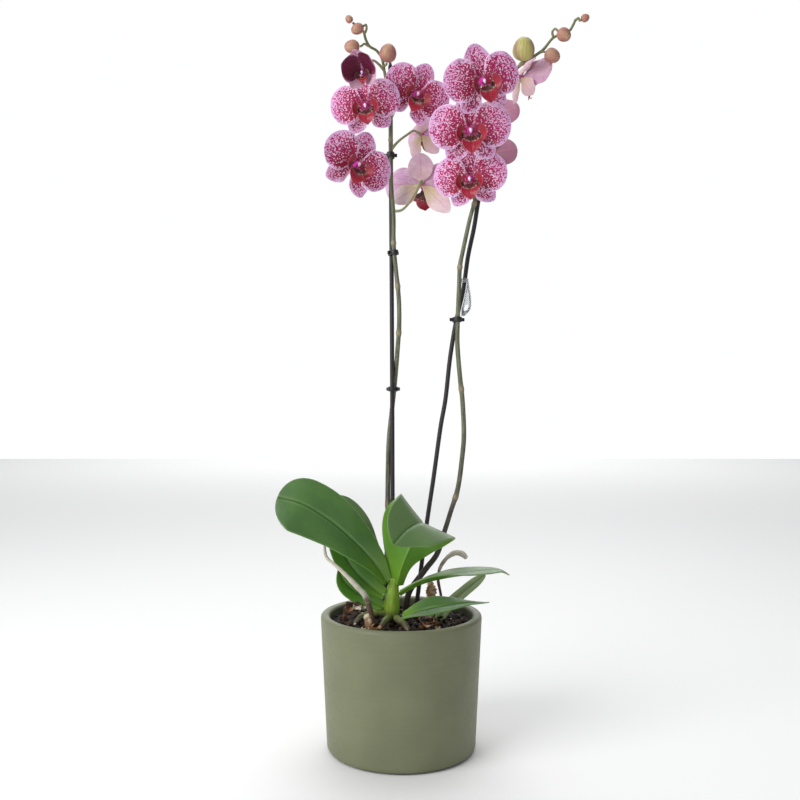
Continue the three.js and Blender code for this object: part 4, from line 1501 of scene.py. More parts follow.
@dataclass
class AerialRoot:
    """A root in the air."""

    name: str
    line: Line
    radius: list[float]
    age: list[float]

    def build(self, skin: Material) -> None:
        """A knobbly bar that ends in a round tip.

        Args:
            skin: its material.
        """
        steps = 110
        shares = np.linspace(0, 1, steps + 1)
        knobs = 1 + 0.05 * np.sin(shares * 31) + 0.04 * np.sin(shares * 77 + 1)
        tip = np.sqrt(np.clip(1 - np.clip((shares - 0.96) / 0.04, 0, 1) ** 2, 0.01, 1))
        form = bar(self.line, along(self.radius, shares) * knobs * tip, sides=18, steps=steps)
        form.paint["age"] = along(self.age, form.paint["along"])
        piece(self.name.replace("aerial", "silver"), form, skin, [self.name])


@dataclass
class Leaf:
    """A strap leaf."""

    name: str
    blade: Blade
    fresh: float = 0.0
    # the share of painted grey sheen on the leaf's upper face
    dusty: float = 0.0

    def build(self, skin: Material) -> None:
        """The blade with its channel, keel and slight waves."""
        form = self.blade.form().painted(fresh=self.fresh, dusty=self.dusty)
        piece(self.name.replace("leaf", "strap_leaf"), form, skin, [self.name])


@dataclass
class Scrap:
    """A torn scrap of dry sheath that curls up: its middle, size, way round, tilt, span and tone."""

    centre: Row
    radius: float
    turn: float
    tilt: float
    span: float = 230.0
    width: float = 3.0
    tone: float = 0.0

    def form(self, phase: float) -> Form:
        """The scrap as a blade on part of a ring.

        Args:
            phase: a number that sets its waves and tears.

        Returns:
            The form.
        """
        spin = Euler((radians(self.tilt), 0, radians(self.turn))).to_matrix()
        line, faces = [], []
        for k in range(7):
            angle = radians(self.span) * (k / 6 - 0.5)
            swell = 1 + 0.18 * sin(2.3 * k + phase * 20)
            arm = spin @ Vector((sin(angle), 0, -0.8 * cos(angle)))
            line.append(tuple(Vector(self.centre) + arm * self.radius * swell))
            faces.append(tuple(-arm))
        return Blade(
            line, faces, [self.width * k for k in (0.3, 0.9, 1.0, 0.8, 0.5)], cup=-0.25, thickness=0.45, edge=0.3,
            tip=0.6, ragged=0.35, wave=0.6, waves=2.6, phase=phase, across=12, steps=40,
        ).form().painted(bleach=self.tone)  # fmt: skip


@dataclass
class DrySheath:
    """A dry sheath at the foot of the plant, with the scraps that curl off it."""

    name: str
    blade: Blade
    scraps: list[Scrap]
    bleach: float = 0.0

    def build(self, skin: Material) -> None:
        """The sheath and its scraps.

        Args:
            skin: its material.
        """
        forms = [self.blade.form().painted(bleach=self.bleach)]
        forms += [scrap.form(0.13 * k + self.blade.phase) for k, scrap in enumerate(self.scraps)]
        piece(self.name.replace("dry", "papery"), together(forms), skin, [self.name])


@dataclass
class Stake:
    """A support stick."""

    name: str
    line: Line
    radius: float = 2.0

    def build(self, stain: Material) -> None:
        """A stick with chamfered ends.

        Args:
            stain: its material.
        """
        steps = 120
        shares = np.linspace(0, 1, steps + 1)
        ends = np.clip(np.minimum(shares, 1 - shares) * 130 + 0.55, 0, 1)
        piece(self.name + "_stick", bar(self.line, self.radius * ends, 28, steps), stain, [self.name])


@dataclass
class Clip:
    """A black clip: a band round stem and stake, with an ear on each side."""

    name: str
    place: Row
    turn: float
    spread: float
    ears: float
    slack: float = 0.0
    stem: float = 2.5
    wall: float = 1.0
    height: float = 4.5

    def band(self) -> Form:
        """The band, with rounded edges.

        Returns:
            The form, about the origin.
        """
        inner = self.stem + self.slack
        reach = self.spread / 2
        half = np.linspace(-pi / 2, pi / 2, 21)
        way = [(reach, angle) for angle in half] + [(-reach, angle + pi) for angle in half]
        rings = []
        for centre, angle in way:
            out = np.array([cos(angle), sin(angle), 0])
            section = []
            for k in range(16):
                spin = 2 * pi * k / 16
                thick = self.wall / 2 * (1 + boxy(cos(spin), 0.4))
                tall = self.height / 2 * boxy(sin(spin), 0.4)
                section.append(np.array([centre, 0, tall]) + out * (inner + thick))
            rings.append(section)
        return loft(np.array(rings), ring_road=True)

    def ear(self, side: int) -> Form:
        """One ear, a rounded tab.

        Args:
            side: -1 or 1.

        Returns:
            The form, about the origin.
        """
        start = self.stem + self.slack + self.wall - 0.4
        rings = []
        for share, swell in ((0, 0.9), (0.15, 1), (0.8, 1), (0.95, 0.85), (1, 0.5)):
            spin = around(20)
            x = 0.62 * swell * boxy(np.cos(spin), 0.5)
            z = self.height * 0.36 * swell * boxy(np.sin(spin), 0.5)
            y = np.full_like(x, side * (start + share * (self.ears + 0.4)))
            rings.append(np.stack([x, y, z], -1))
        return loft(np.array(rings))

    def build(self, plastic: Material) -> None:
        """The band and its ears in place.

        Args:
            plastic: its material.
        """
        matrix = Matrix.Translation(self.place) @ Matrix.Rotation(radians(self.turn), 4, "Z")
        form = together([self.band(), self.ear(-1), self.ear(1)]).moved(np.array(matrix))
        piece(self.name.replace("clip", "black_clip"), form, plastic, [self.name])


@dataclass
class ClearClip:
    """A clear clip: a collar round the stake, and a wing with a thick rim that hangs beside it."""

    place: Row = (57.35, 6.25, 419.0)
    bore: float = 2.65
    height: float = 4.0
    outline: list[Pair] = field(
        default_factory=lambda: [
            (60.4, 417.6), (61.9, 410), (62.9, 401), (62.2, 393.4), (57.6, 387.6), (55.4, 387.2), (55.0, 392),
            (57.1, 401.5), (59.0, 410.5),
        ]
    )  # fmt: skip

    def build(self, plastic: Material) -> None:
        """The collar, the rim of the wing and its thin plate.

        Args:
            plastic: its material.
        """
        collar = Clip("", self.place, 0, 0, 0, stem=self.bore, height=self.height).band()
        collar.moved(np.array(Matrix.Translation(self.place)))
        y = self.place[1]
        knots = self.outline + self.outline[:1]
        route = [(x, y, z) for x, z in knots]
        rim = bar(route, 0.6, sides=12, steps=120)
        edge = Path(route).at(np.linspace(0, 1, 61)[:-1])
        plate = loft(np.array([edge + np.array([0, -0.25, 0]), edge + np.array([0, 0.25, 0])]))
        piece("clear_clip", together([collar, rim, plate]), plastic, ["clear_clip_right"])


@dataclass
class Bud:
    """A closed bud, an egg with the seams of its folded petals."""

    name: str
    foot: Row
    towards: Row
    length: float
    radius: float
    seams: int = 3

    def build(self, skin: Material, slot: Slot) -> None:
        """Turns the bud's outline about its axis and presses in the seams.

        Args:
            skin: its material.
            slot: the record's slot of that material; not used.
        """
        rings, sides = 36, 48
        angle = np.linspace(0.03, pi - 0.03, rings)[:, None]
        turn = around(sides)[None, :]
        fat = self.radius * np.sin(angle) ** 0.92 * (1 + 0.12 * np.cos(angle))
        wind = turn + 0.25 * angle - 0.92
        apart = np.abs((wind * self.seams / (2 * pi)) % 1 - 0.5)
        groove = np.exp(-(apart**2) / 0.0016)
        fat = fat * (1 - 0.045 * groove) * (1 + 0.015 * np.cos(self.seams * wind))
        rise = self.length * (1 - np.cos(angle)) / 2 + 0 * turn
        shape = np.stack([fat * np.cos(turn), fat * np.sin(turn), rise], -1)
        paint = {
            "along": np.repeat((1 - np.cos(angle)) / 2, sides, 1),
            "round": np.repeat(turn / (2 * pi), rings, 0),
            "seam": groove + 0 * fat,
            "flank": np.clip(1 - (apart - 0.12) / 0.13, 0, 1) + 0 * fat,
        }
        aim = Vector((0, 0, 1)).rotation_difference(Vector(self.towards).normalized()).to_matrix().to_4x4()
        form = loft(shape, paint).moved(np.array(Matrix.Translation(self.foot) @ aim))
        piece(self.name.replace("bud", "closed_bud"), form, skin, [self.name])


@dataclass
class Flower:
    """One flower: two petals, three sepals, the column and the lip, in its own frame that faces -Y."""

    name: str
    hub: Row
    turn: float
    nod: float
    roll: float
    size: float
    closed: float
    route: Line
    laterals: tuple[Pair, Pair] = ((139, 30), (139, 30))
    # blush: the amount of painted shade on the back of a flower turned away
    blush: float = 0.0
    hook: bool = False
    seed: int = 0
    column_foot: Pair = (-4.4, -4.0)
    hub_radius: float = 3.0
    petal_length: float = 36.0
    petal_half: float = 19.5
    petal_angles: Pair = (78, 57)
    side_half: float = 10.3
    top_length: float = 33.0
    top_half: float = 12.5

    def matrix(self) -> Matrix:
        """The place of the flower in the plant.

        Returns:
            The matrix.
        """
        spin = Matrix.Rotation(radians(self.turn), 4, "Z") @ Matrix.Rotation(radians(self.nod), 4, "X")
        spin = spin @ Matrix.Rotation(radians(self.roll), 4, "Y")
        return Matrix.Translation(self.hub) @ spin @ Matrix.Scale(self.size, 4)

    def mix(self, opened: float, shut: float) -> float:
        """A number between that of an open flower and that of a half-closed one."""
        return opened + (shut - opened) * self.closed

    def bend(self, opened: Pair, shut: Pair) -> Pair:
        """The slopes at a petal's foot and tip, in degrees."""
        return self.mix(opened[0], shut[0]), self.mix(opened[1], shut[1])

    def tepal(
        self, angle: float, length: float, half: list[float], rise: Pair, behind: float, cup: float, tip: float,
        blunt: float,
    ) -> Blade:  # fmt: skip
        """One petal or sepal.

        Args:
            angle: its direction from up, in degrees to the right.
            length: its length.
            half: half widths along it.
            rise: its slopes to the front at foot and tip.
            behind: how far behind the hub it starts.
            cup: how much its sides lift.
            tip: the share of the length where its end begins to round.
            blunt: how blunt the end is; a low number is blunter.

        Returns:
            The blade.
        """
        out = np.array([sin(radians(angle)), 0, cos(radians(angle))])
        place = np.array([0, behind, 0]) + 2 * out
        line = [tuple(place)]
        for k in range(6):
            slope = radians(rise[0] + (rise[1] - rise[0]) * (k + 0.5) / 6)
            place = place + out * cos(slope) * length / 6 - np.array([0, sin(slope) * length / 6, 0])
            line.append(tuple(place))
        faces = []
        for share in (0, 0.5, 1):
            slope = radians(rise[0] + (rise[1] - rise[0]) * share)
            faces.append(tuple(-out * sin(slope) - np.array([0, cos(slope), 0])))
        draw = random.Random(self.seed * 31 + int(angle) + 400)
        return Blade(
            line, faces, half, cup=cup, thickness=0.85, edge=0.5, tip=tip, blunt=blunt, groove=0.12, keel=0.18,
            rib_width=1.1, wave=draw.uniform(0.5, 1.1) * (1 - 0.5 * self.closed), waves=draw.uniform(1.6, 2.6),
            phase=draw.random(), across=30, steps=34,
        )  # fmt: skip

    def tepals(self) -> Form:
        """The two petals and three sepals, painted with how low each point lies in the flower.

        Returns:
            The five blades as one form.
        """
        slim = self.mix(1, 0.86)
        spread = self.mix(*self.petal_angles)
        blades = []
        for side in (-1, 1):
            half = [share * self.petal_half * slim for share in (0.1, 0.86, 1.0, 1.0, 0.98)]
            rise = self.bend((14, -12), (30, 84))
            cup = self.mix(0.02, 0.3)
            blades.append((0, self.tepal(side * spread, self.petal_length, half, rise, -0.8, cup, 0.52, 0.5)))
            half = [share * self.side_half * slim for share in (0.14, 0.6, 1.0, 1.0, 0.9)]
            rise = self.bend((2, -8), (22, 68))
            angle, length = self.laterals[side > 0]
            blades.append((1, self.tepal(side * angle, length, half, rise, 1.6, self.mix(0, 0.25), 0.5, 0.6)))
        half = [share * self.top_half * slim for share in (0.14, 0.8, 1.0, 1.0, 0.95)]
        rise = self.bend((2, -8), (22, 68))
        blades.append((0.4, self.tepal(0, self.top_length, half, rise, 1.6, self.mix(0, 0.25), 0.5, 0.55)))
        forms = []
        for sepal, blade in blades:
            form = blade.form().painted(sepal=sepal, blush=self.blush)
            form.paint["low"] = np.clip(-form.points[:, 2] / 26, -0.6, 1)
            forms.append(form)
        return together(forms)

    def column(self) -> Form:
        """The column with its foot, and the cap at its end.

        Returns:
            The form.
        """
        shares = np.linspace(0, 1, 31)
        tip = np.sqrt(np.clip(1 - np.clip((shares - 0.9) / 0.1, 0, 1) ** 2, 0.04, 1))
        line = [(0, 3, 0), (0, 0, 0), (0, -4.75, 1.2), (0, -9.5, 0.6)]
        body = bar(line, along([1.6, 3, 2.2, 1.9], shares) * tip, 20, 30)
        y, z = self.column_foot
        foot = bar([(0, 0, -0.8), (0, -2.6, -2.4), (0, y, z)], [1.7, 1.4, 1.3], 14, 12)
        wings = [ellipsoid((side * 1.5, -6.6, 0.4), (0.9, 2.2, 1.3), 9, 12) for side in (-1, 1)]
        forms = [form.painted(cap=0.0) for form in (body, foot, *wings)]
        cap = together([ellipsoid((0, -9.6, 0.1), (1.5, 1.4, 1.8)), ellipsoid((0, -9.9, -1.3), (0.9, 0.9, 1.2), 8, 12)])
        return together([*forms, cap.painted(cap=1.0)])

    def lip(self) -> Form:
        """The lip: a middle lobe, two side lobes that stand up, and the callus between them.

        Returns:
            The form.
        """
        y, z = self.column_foot
        foot = np.array([0, y - 0.35, z - 0.35])
        scale = 1 - 0.36 * self.closed

        def local(points: Line) -> Line:
            """Points drawn towards the foot of the lip."""
            return [tuple(foot + scale * (np.array(p) - foot)) for p in points]

        middle = Blade(
            local([tuple(foot), (0, -10, -7.4), (0, -15, -11.2), (0, -17.4, -15.6), (0, -17, -21)]),
            [(0, -0.5, 0.85), (0, -0.6, 0.8), (0, -0.95, 0.3)],
            [k * scale for k in (1.8, 4.4, 8.4, 7.8, 4.5)],
            cup=[0.5, 0.35, 0.2, 0.08], thickness=1.1, edge=0.6, tip=0.62, blunt=0.9, groove=0.35, keel=0.2,
            rib_width=0.9, wave=0.5, waves=1.4, phase=0.3, across=24, steps=40,
        ).form().painted(lobe=1.0, callus=0.0, throat=0.5)  # fmt: skip
        forms = [middle]
        faces = [(0, -0.3, 0.95), (-0.6, -0.55, 0.5), (-0.62, -0.78, 0), (-0.5, -0.85, -0.2)]
        for side in (-1, 1):
            route = [(1.5, -7.6, -6.2), (6.4, -10, -8.4), (10.2, -12, -5), (10.2, -13, 0.4), (8.2, -13.2, 4.6)]
            lobe = Blade(
                local([(side * x, y, z) for x, y, z in route]),
                [(side * x, y, z) for x, y, z in faces],
                [k * scale for k in (2.4, 4.4, 4.9, 4.6, 4.0)],
                cup=0.16, thickness=0.9, edge=0.5, tip=0.6, blunt=0.5, wave=0.4, waves=1.2, phase=0.6, across=18,
                steps=28,
            ).form()  # fmt: skip
            lobe.painted(lobe=0.7, callus=0.0)
            lobe.paint["throat"] = 0.44 - 0.46 * side * lobe.paint["across"]
            forms.append(lobe)
            horn = ellipsoid(local([(side * 1.1, -7.2, -4.6)])[0], (0.9 * scale, 1.3 * scale, 1.2 * scale), 8, 12)
            forms.append(horn.painted(lobe=0.0, callus=0.9))
            if self.hook:
                route = [(0.8, -17, -19.6), (1.6, -18, -22), (3.6, -19, -22.6), (4.2, -19, -20.4)]
                curl = local([(side * x, y, z) for x, y, z in route])
                forms.append(bar(curl, [0.6, 0.4, 0.25], 8, 20).painted(lobe=0.0, callus=0.0))
        return together(forms)

    def stalk(self) -> Line:
        """The route of its stalk, which ends just behind the hub.

        Returns:
            The points, from the stem on.
        """
        back = self.hub_radius + 0.3 / self.size
        matrix = self.matrix()
        return [*self.route, tuple(matrix @ Vector((0, back + 4, 0))), tuple(matrix @ Vector((0, back, 0)))]

    def build(self, petal: Material, column: Material, lip: Material) -> None:
        """The flower's three pieces in place.

        Args:
            petal: the material of petals and sepals.
            column: the column's material.
            lip: the lip's material.
        """
        place = np.array(self.matrix())
        mark = self.name.replace("bloom_", "")
        piece("petals_" + mark, self.tepals().moved(place), petal, [self.name])
        piece("column_" + mark, self.column().moved(place), column, [self.name])
        piece("lip_of_" + mark, self.lip().moved(place), lip, ["lip_" + mark])


@dataclass
class Spike:
    """A flower spike: its stem with rings, and the stalks of its flowers and buds."""

    name: str
    line: Line
    rings: list[float]
    bud_routes: list[Line]
    flowers: list[Flower]
    radius: float = 2.2
    tip_radius: float = 1.1
    ring_width: float = 1.7
    ring_swell: float = 0.55
    scale_length: float = 9.0
    scale_swell: float = 0.22
    foot_swell: float = 0.5
    foot_top: float = 200.0
    foot_fade: float = 50.0

    def stem(self) -> Form:
        """The stem, swollen a little at each ring, with a thin scale above it.

        Returns:
            The form.
        """
        steps = 420
        shares = np.linspace(0, 1, steps + 1)
        height = Path(self.line).at(shares)[:, 2]
        share = (height - height[0]) / (height[-1] - height[0])
        size = self.radius + (self.tip_radius - self.radius) * share**3
        ring = np.zeros_like(size)
        scale = np.zeros_like(size)
        for z in self.rings:
            ring = ring + np.exp(-(((height - z) / self.ring_width) ** 2))
            scale = scale + np.clip(1 - (height - z) / self.scale_length, 0, 1) * (height > z)
        foot = np.clip((self.foot_top - height) / self.foot_fade, 0, 1)
        size = size + self.ring_swell * ring + self.scale_swell * scale + self.foot_swell * foot
        form = bar(self.line, size, sides=24, steps=steps)
        form.paint["ring"] = np.interp(form.paint["along"], shares, np.clip(ring + 0.35 * scale, 0, 1))
        return form.painted(stalk=0.0)

    def build(self, skin: Material) -> None:
        """The stem and every stalk.

        Args:
            skin: its material.
        """
        forms = [self.stem()]
        for flower in self.flowers:
            stalk = bar(flower.stalk(), [1.35, 1.1, 1.15, 1.75], sides=14, steps=44, flutes=6, depth=0.04)
            forms.append(stalk.painted(ring=0.0, stalk=0.85))
        for route in self.bud_routes:
            forms.append(bar(route, [1.15, 0.95, 1.1], sides=12, steps=24).painted(ring=0.0, stalk=0.35))
        piece(self.name.replace("spike", "flower_spike"), together(forms), skin, [self.name])


@dataclass
class Studio:
    """The camera at the photograph's place, a pale floor and soft light."""

    camera: Row = (-1.17, -820.0, 311.0)
    lens: float = 41.0
    sensor: float = 36.0
    lights: tuple[tuple[str, Row, Row, float, float], ...] = (
        ("window", (-1.15, -0.95, 1.05), (0, 0, 0.34), 1.1, 21.0),
        ("reflector", (1.25, -0.7, 0.7), (0, 0, 0.3), 1.0, 0.4),
        ("ceiling", (0.1, 0.5, 1.6), (0, 0, 0.3), 1.2, 9.0),
        ("backdrop", (0, 4.2, 2.2), (0, 4.2, 0), 3.4, 60.0),
    )
    floor_half: float = 4.0
    floor_drop: float = 0.0005
    floor_colour: Row = (0.9, 0.9, 0.9)
    sky_colour: Row = (0.98, 0.99, 1)

    def light(self, name: str, place: Row, aim: Row, size: float, watts: float) -> None:
        """A soft square light.

        Args:
            name: the light's name.
            place: where it hangs, in metres.
            aim: the point that it faces, in metres.
            size: its side, in metres.
            watts: its power.
        """
        lamp = bpy.data.lights.new(name, "AREA")
        lamp.size = size
        lamp.energy = watts
        made = stand(name, lamp)
        made.location = place
        made.rotation_euler = (Vector(aim) - Vector(place)).to_track_quat("-Z", "Y").to_euler()

    def set_camera(self) -> None:
        """Puts the camera where the photograph was taken from."""
        eye = bpy.data.cameras.new("camera")
        eye.lens = self.lens
        eye.sensor_width = self.sensor
        seat = stand("camera", eye)
        seat.location = Vector(self.camera) * MM
        seat.rotation_euler = (pi / 2, 0, 0)
        bpy.context.scene.camera = seat

    def set_sky(self) -> None:
        """Lights the room evenly, brighter behind the plant and darker to its right."""
        sky = bpy.data.worlds.new("sky")
        bpy.context.scene.world = sky
        sky.use_nodes = True
        wires = Wires(sky.node_tree)
        glow = sky.node_tree.nodes["Background"]
        glow.inputs["Color"].default_value = (*self.sky_colour, 1)
        way = wires.node("SeparateXYZ", {0: wires.node("TexCoord").outputs["Generated"]})
        back = wires.smooth(way.outputs["Y"], 0.45, 0.8, 0.42, 1.02)
        right = wires.smooth(way.outputs["X"], 0.45, 0.9, 1.0, 0.55)
        wires.feed(glow.inputs["Strength"], wires.times(back, right))

    def set_floor(self) -> None:
        """Lays the pale floor just under the pot."""
        half = self.floor_half
        mesh = bpy.data.meshes.new("floor")
        corners = [(-half, -half, 0), (half, -half, 0), (half, half, 0), (-half, half, 0)]
        mesh.from_pydata(corners, [], [(0, 1, 2, 3)])
        floor = stand("floor", mesh)
        floor.location.z = -self.floor_drop
        pale = bpy.data.materials.new("pale_floor")
        pale.use_nodes = True
        shader = pale.node_tree.nodes["Principled BSDF"]
        shader.inputs["Base Color"].default_value = (*self.floor_colour, 1)
        shader.inputs["Roughness"].default_value = 0.9
        mesh.materials.append(pale)

    def build(self) -> None:
        """Sets the camera, lights, sky and floor."""
        self.set_camera()
        for row in self.lights:
            self.light(*row)
        self.set_sky()
        self.set_floor()
        bpy.context.scene.view_settings.view_transform = "Standard"
        LOG.info("studio ready")


# The plant's own lines and sizes

LEFT_STEM = [
    (-13, 13, 98), (-14, 12, 136), (-13, 10, 165), (-12.4, 9, 204), (-12.1, 9, 247), (-11.2, 10, 275),
    (-8.5, 12, 302), (-5.7, 11, 329), (-3.5, 5, 355), (-1.9, 1.5, 380), (-2.3, 1, 403), (-4.8, 1, 428),
    (-6.9, 1, 452), (-6.9, 1, 476), (-8.7, 1, 500), (-9.5, 1, 523), (-9.8, 0.5, 552), (-12, 0, 585),
    (-15.2, -2, 606), (-17.5, -4, 617), (-22, -6, 623), (-28.4, -9, 626), (-31.5, -11, 631), (-34, -13, 638),
    (-43, -17, 643.5),
]  # fmt: skip
RIGHT_STEM = [
    (4, 6, 98), (4.2, 5.4, 114), (4.6, 4.8, 126), (7.6, 3, 138.5), (15.5, 2, 150), (23, 1, 160),
    (32, 1, 172), (39.7, 1, 195), (44.6, 0, 211), (50.6, 0, 230), (54.6, 0, 258), (56.3, 0, 278),
    (55, 0, 311), (52.6, -1, 333), (50.4, -1, 362), (50.7, -1, 382), (52, -1, 415), (52.8, -1, 432),
    (55.4, 0, 445), (62, 0, 475), (66, 0, 489), (70.8, 0, 509), (77, -2, 535), (83, -5, 560),
    (90.6, -8, 583), (98.3, -11, 599), (107, -14.5, 609), (118.5, -18, 614.7), (124.5, -20.5, 618.5),
    (132.8, -24, 627.5), (140, -25, 630), (146.7, -26, 633), (149.3, -27, 637), (151.6, -28, 642),
]  # fmt: skip
LEFT_STAKE = [(-7.6, 6, 24), (-7.9, 6, 220), (-8.6, 6, 402), (-9.2, 6, 492), (-10, 6, 617)]
RIGHT_STAKE = [
    (11.5, 9, 24), (13.5, 9, 120), (15.5, 9, 137), (23.6, 8, 202), (29, 8, 238), (35.9, 7, 288), (40, 7, 311),
    (44.2, 6, 349), (48.8, 5, 378), (51.8, 5, 392), (56.2, 6, 411), (60.7, 7, 442), (66, 8, 467),
    (69.7, 8, 490), (77, 8, 532),
]  # fmt: skip


def leaves() -> list[Leaf]:
    """The eight leaves.

    Returns:
        The leaves, by number.
    """
    blades = {
        "leaf_1": Blade(
            [(-13.5, -8.5, 149), (-24, -13, 166), (-41, -18, 185), (-62, -21, 204), (-88, -22, 220),
             (-109, -20, 225.5)],
            [(0.6, -0.75, 0.4), (0.3, -0.9, 0.5), (0, -0.9, 0.55), (-0.1, -0.85, 0.5)],
            [5, 11, 16.5, 20.5, 24, 24.5, 24], half_left=[5, 11, 16, 20.5, 25, 28, 28], fold=[0.5, 0.3, 0.14, 0.06],
            tip=0.8, blunt=0.48, groove=0.9, keel=0.7, wave=0.7, waves=1.6, phase=0.1, across=36, steps=90,
        ),
        "leaf_2": Blade(
            [(-14, -1, 146), (-25, 8, 166), (-37, 15, 190), (-49, 19, 210), (-58, 20, 223)],
            [(0.6, -0.75, 0.3), (0.5, -0.85, 0.3), (0.4, -0.9, 0.3)],
            [4, 7, 9.5, 11.5, 12, 11], half_left=[4, 8, 12, 15, 15.5, 15], fold=[0.5, 0.3, 0.1], tip=0.68,
            blunt=0.62, groove=0.7, keel=0.6, wave=0.5, phase=0.2, across=28, steps=60,
        ),
        "leaf_3": Blade(
            [(-4, -8.5, 146), (1, -17, 166), (9, -27, 186), (19, -41, 203), (14, -60, 208), (3, -74, 204),
             (-7, -85, 194.5)],
            [(0.2, 0.9, 0.4), (0.35, 0.8, 0.42), (0.5, 0.25, 0.8), (0.54, -0.45, 0.7), (0.55, -0.6, 0.6)],
            [6, 19, 32, 34, 30, 23, 18], half_left=[5, 8, 18, 27, 27, 22, 17], fold=[0.6, 0.35, 0.2, 0.1], tip=0.8,
            blunt=0.7, groove=0.9, keel=0.9, wave=0.6, waves=1.2, phase=0.3, across=40, steps=100,
        ),
        "leaf_4": Blade(
            [(-16, -8, 136), (-28, -8, 145), (-40, -7, 156), (-49, -4, 168), (-56, 0, 184), (-63, 5, 197)],
            [(0.3, -0.85, 0.5), (0.1, -0.9, 0.5), (0, -0.9, 0.4)],
            [6, 11, 15, 16, 15, 12], half_left=[4, 7, 10, 11, 10.5, 9], fold=[0.4, 0.3, 0.2], tip=0.7, blunt=0.65,
            groove=0.8, keel=0.6, wave=0.5, phase=0.4, across=28, steps=60,
        ),
        "leaf_5": Blade(
            [(-16, 0, 124), (-30, 3, 130), (-43, 4, 138), (-52, 3, 147), (-57, 2, 158)],
            [(0.1, -0.8, 0.6), (0.2, -0.9, 0.5), (0.3, -0.9, 0.3)],
            [4, 7, 9, 9, 7], fold=[0.5, 0.3, 0.2], tip=0.62, blunt=0.7, groove=0.6, keel=0.5, phase=0.5, steps=50,
        ),
        "leaf_6": Blade(
            [(-1, -9, 138), (9, -13, 145), (22, -16, 151), (38, -17, 155), (57, -17, 158), (74, -16, 160),
             (88, -14, 160), (96, -13, 156)],
            [(-0.4, 0.1, 0.9), (-0.2, 0, 1), (0, -0.02, 1), (0.05, 0, 1)],
            [4, 5, 8, 12, 14, 13, 11], fold=[0.6, 0.4, 0.1, 0.02], tip=0.78, blunt=0.7, groove=0.8, keel=0.6,
            wave=0.6, waves=1.4, phase=0.6, across=30, steps=80,
        ),
        "leaf_7": Blade(
            [(1, -12, 118), (9, -18, 122), (20, -25, 127), (36, -30, 131.5), (56, -33, 135), (76, -34, 136.5)],
            [(-0.2, -0.45, 0.85), (0, -0.3, 0.95), (0.1, 0, 1)],
            [5, 12, 14, 11, 8, 5], fold=[0.4, 0.2, 0.05], tip=0.62, blunt=0.95, groove=0.8, keel=0.6, wave=0.6,
            waves=1.5, phase=0.7, across=30, steps=70,
        ),
        "leaf_8": Blade(
            [(31, 4, 102), (37, 7, 116), (46, 12, 126), (58, 18, 135), (78, 25, 149.5)],
            [(-0.3, -0.9, 0.3), (-0.3, -0.9, 0.3)],
            [4, 4.8, 4.8, 4.6, 3.8], fold=[0.3, 0.2, 0.1], tip=0.8, groove=0.6, keel=0.5, phase=0.8, steps=50,
        ),
    }  # fmt: skip
    fresh = {"leaf_2": 0.15, "leaf_4": 0.5, "leaf_5": 0.8}
    # how much painted grey sheen each leaf's upper face takes
    dusty = {"leaf_1": 0.05, "leaf_2": 0.3, "leaf_3": 0.2, "leaf_6": 0.15, "leaf_7": 0.06, "leaf_8": 1.0}
    return [Leaf(name, blade, fresh.get(name, 0.0), dusty.get(name, 0.0)) for name, blade in blades.items()]


def sheaths() -> list[DrySheath]:
    """The four dry sheaths.

    Returns:
        The sheaths.
    """
    dry = {"thickness": 0.6, "edge": 0.3, "tip": 0.6, "ragged": 0.3, "wave": 0.9, "waves": 3.2, "across": 20}
    return [
        DrySheath(
            "dry_sheath_standing",
            Blade([(25, 9, 104), (26, 9, 122), (27, 8, 138), (25, 7, 152)], [(0.2, 0.9, 0), (-0.2, 1, 0.2)],
                  [2.5, 3.6, 4.6, 3.2], cup=[-0.4, -0.5, -0.3], phase=0.1, **dry),
            [Scrap((26, 4.5, 134), 8, 75, 8, 100, 2.2, 0.6), Scrap((28, 5, 144), 6, 100, -10, 90, 1.8, 0.3)],
            0.35,
        ),
        DrySheath(
            "dry_sheath_right",
            Blade([(17, -28, 107), (20, -32, 115), (27, -37, 119), (34, -33, 117)],
                  [(0.3, 0.9, 0.3), (-0.3, 0.5, 0.8), (-0.6, 0.4, 0.7)], [2.5, 3.2, 3.2, 2.4], cup=[0.3, 0.4, 0.2],
                  phase=0.3, **dry),
            [
                Scrap((22.5, -36, 122), 6.2, 5, 15, 320, 1.9, 0.3),
                Scrap((31, -35, 116), 3.6, -60, 20, 210, 1.6, 0.2),
            ],
        ),
        DrySheath(
            "dry_sheath_front",
            Blade([(-27, -30, 107), (-29, -32, 117), (-30, -34, 124), (-26, -37, 119)],
                  [(0.3, 0.9, 0), (0.3, 0.9, 0.2), (0.2, 0.2, -0.9)], [2.5, 3, 2.6, 2.2], cup=[0.3, 0.4, 0.3],
                  phase=0.5, **dry),
            [
                Scrap((-22, -38, 117), 4.4, 30, 30, 290, 1.7, 0.1),
                Scrap((-31, -37, 116), 3.8, -40, 10, 150, 2.2, 0.6),
            ],
            0.35,
        ),
        DrySheath(
            "dry_sheath_left",
            Blade([(-52, -4, 107), (-50, -8, 122), (-43, -12, 130), (-34, -13, 129)],
                  [(0.6, 0.7, 0.2), (0.6, 0.3, 0.7), (0.2, -0.3, 0.9)], [1.8, 2.4, 4.2, 3.2], cup=[0.3, 0.4, 0.2],
                  phase=0.7, **dry),
            [
                Scrap((-46, -14, 127), 3.4, 20, 40, 250, 2.0, 0.1),
                Scrap((-39, -16, 129), 3.6, -20, 50, 240, 1.7, 0.7),
                Scrap((-33, -15, 127.5), 3.0, 40, 70, 200, 1.5, 0.4),
            ],
            -0.28,
        ),
    ]  # fmt: skip


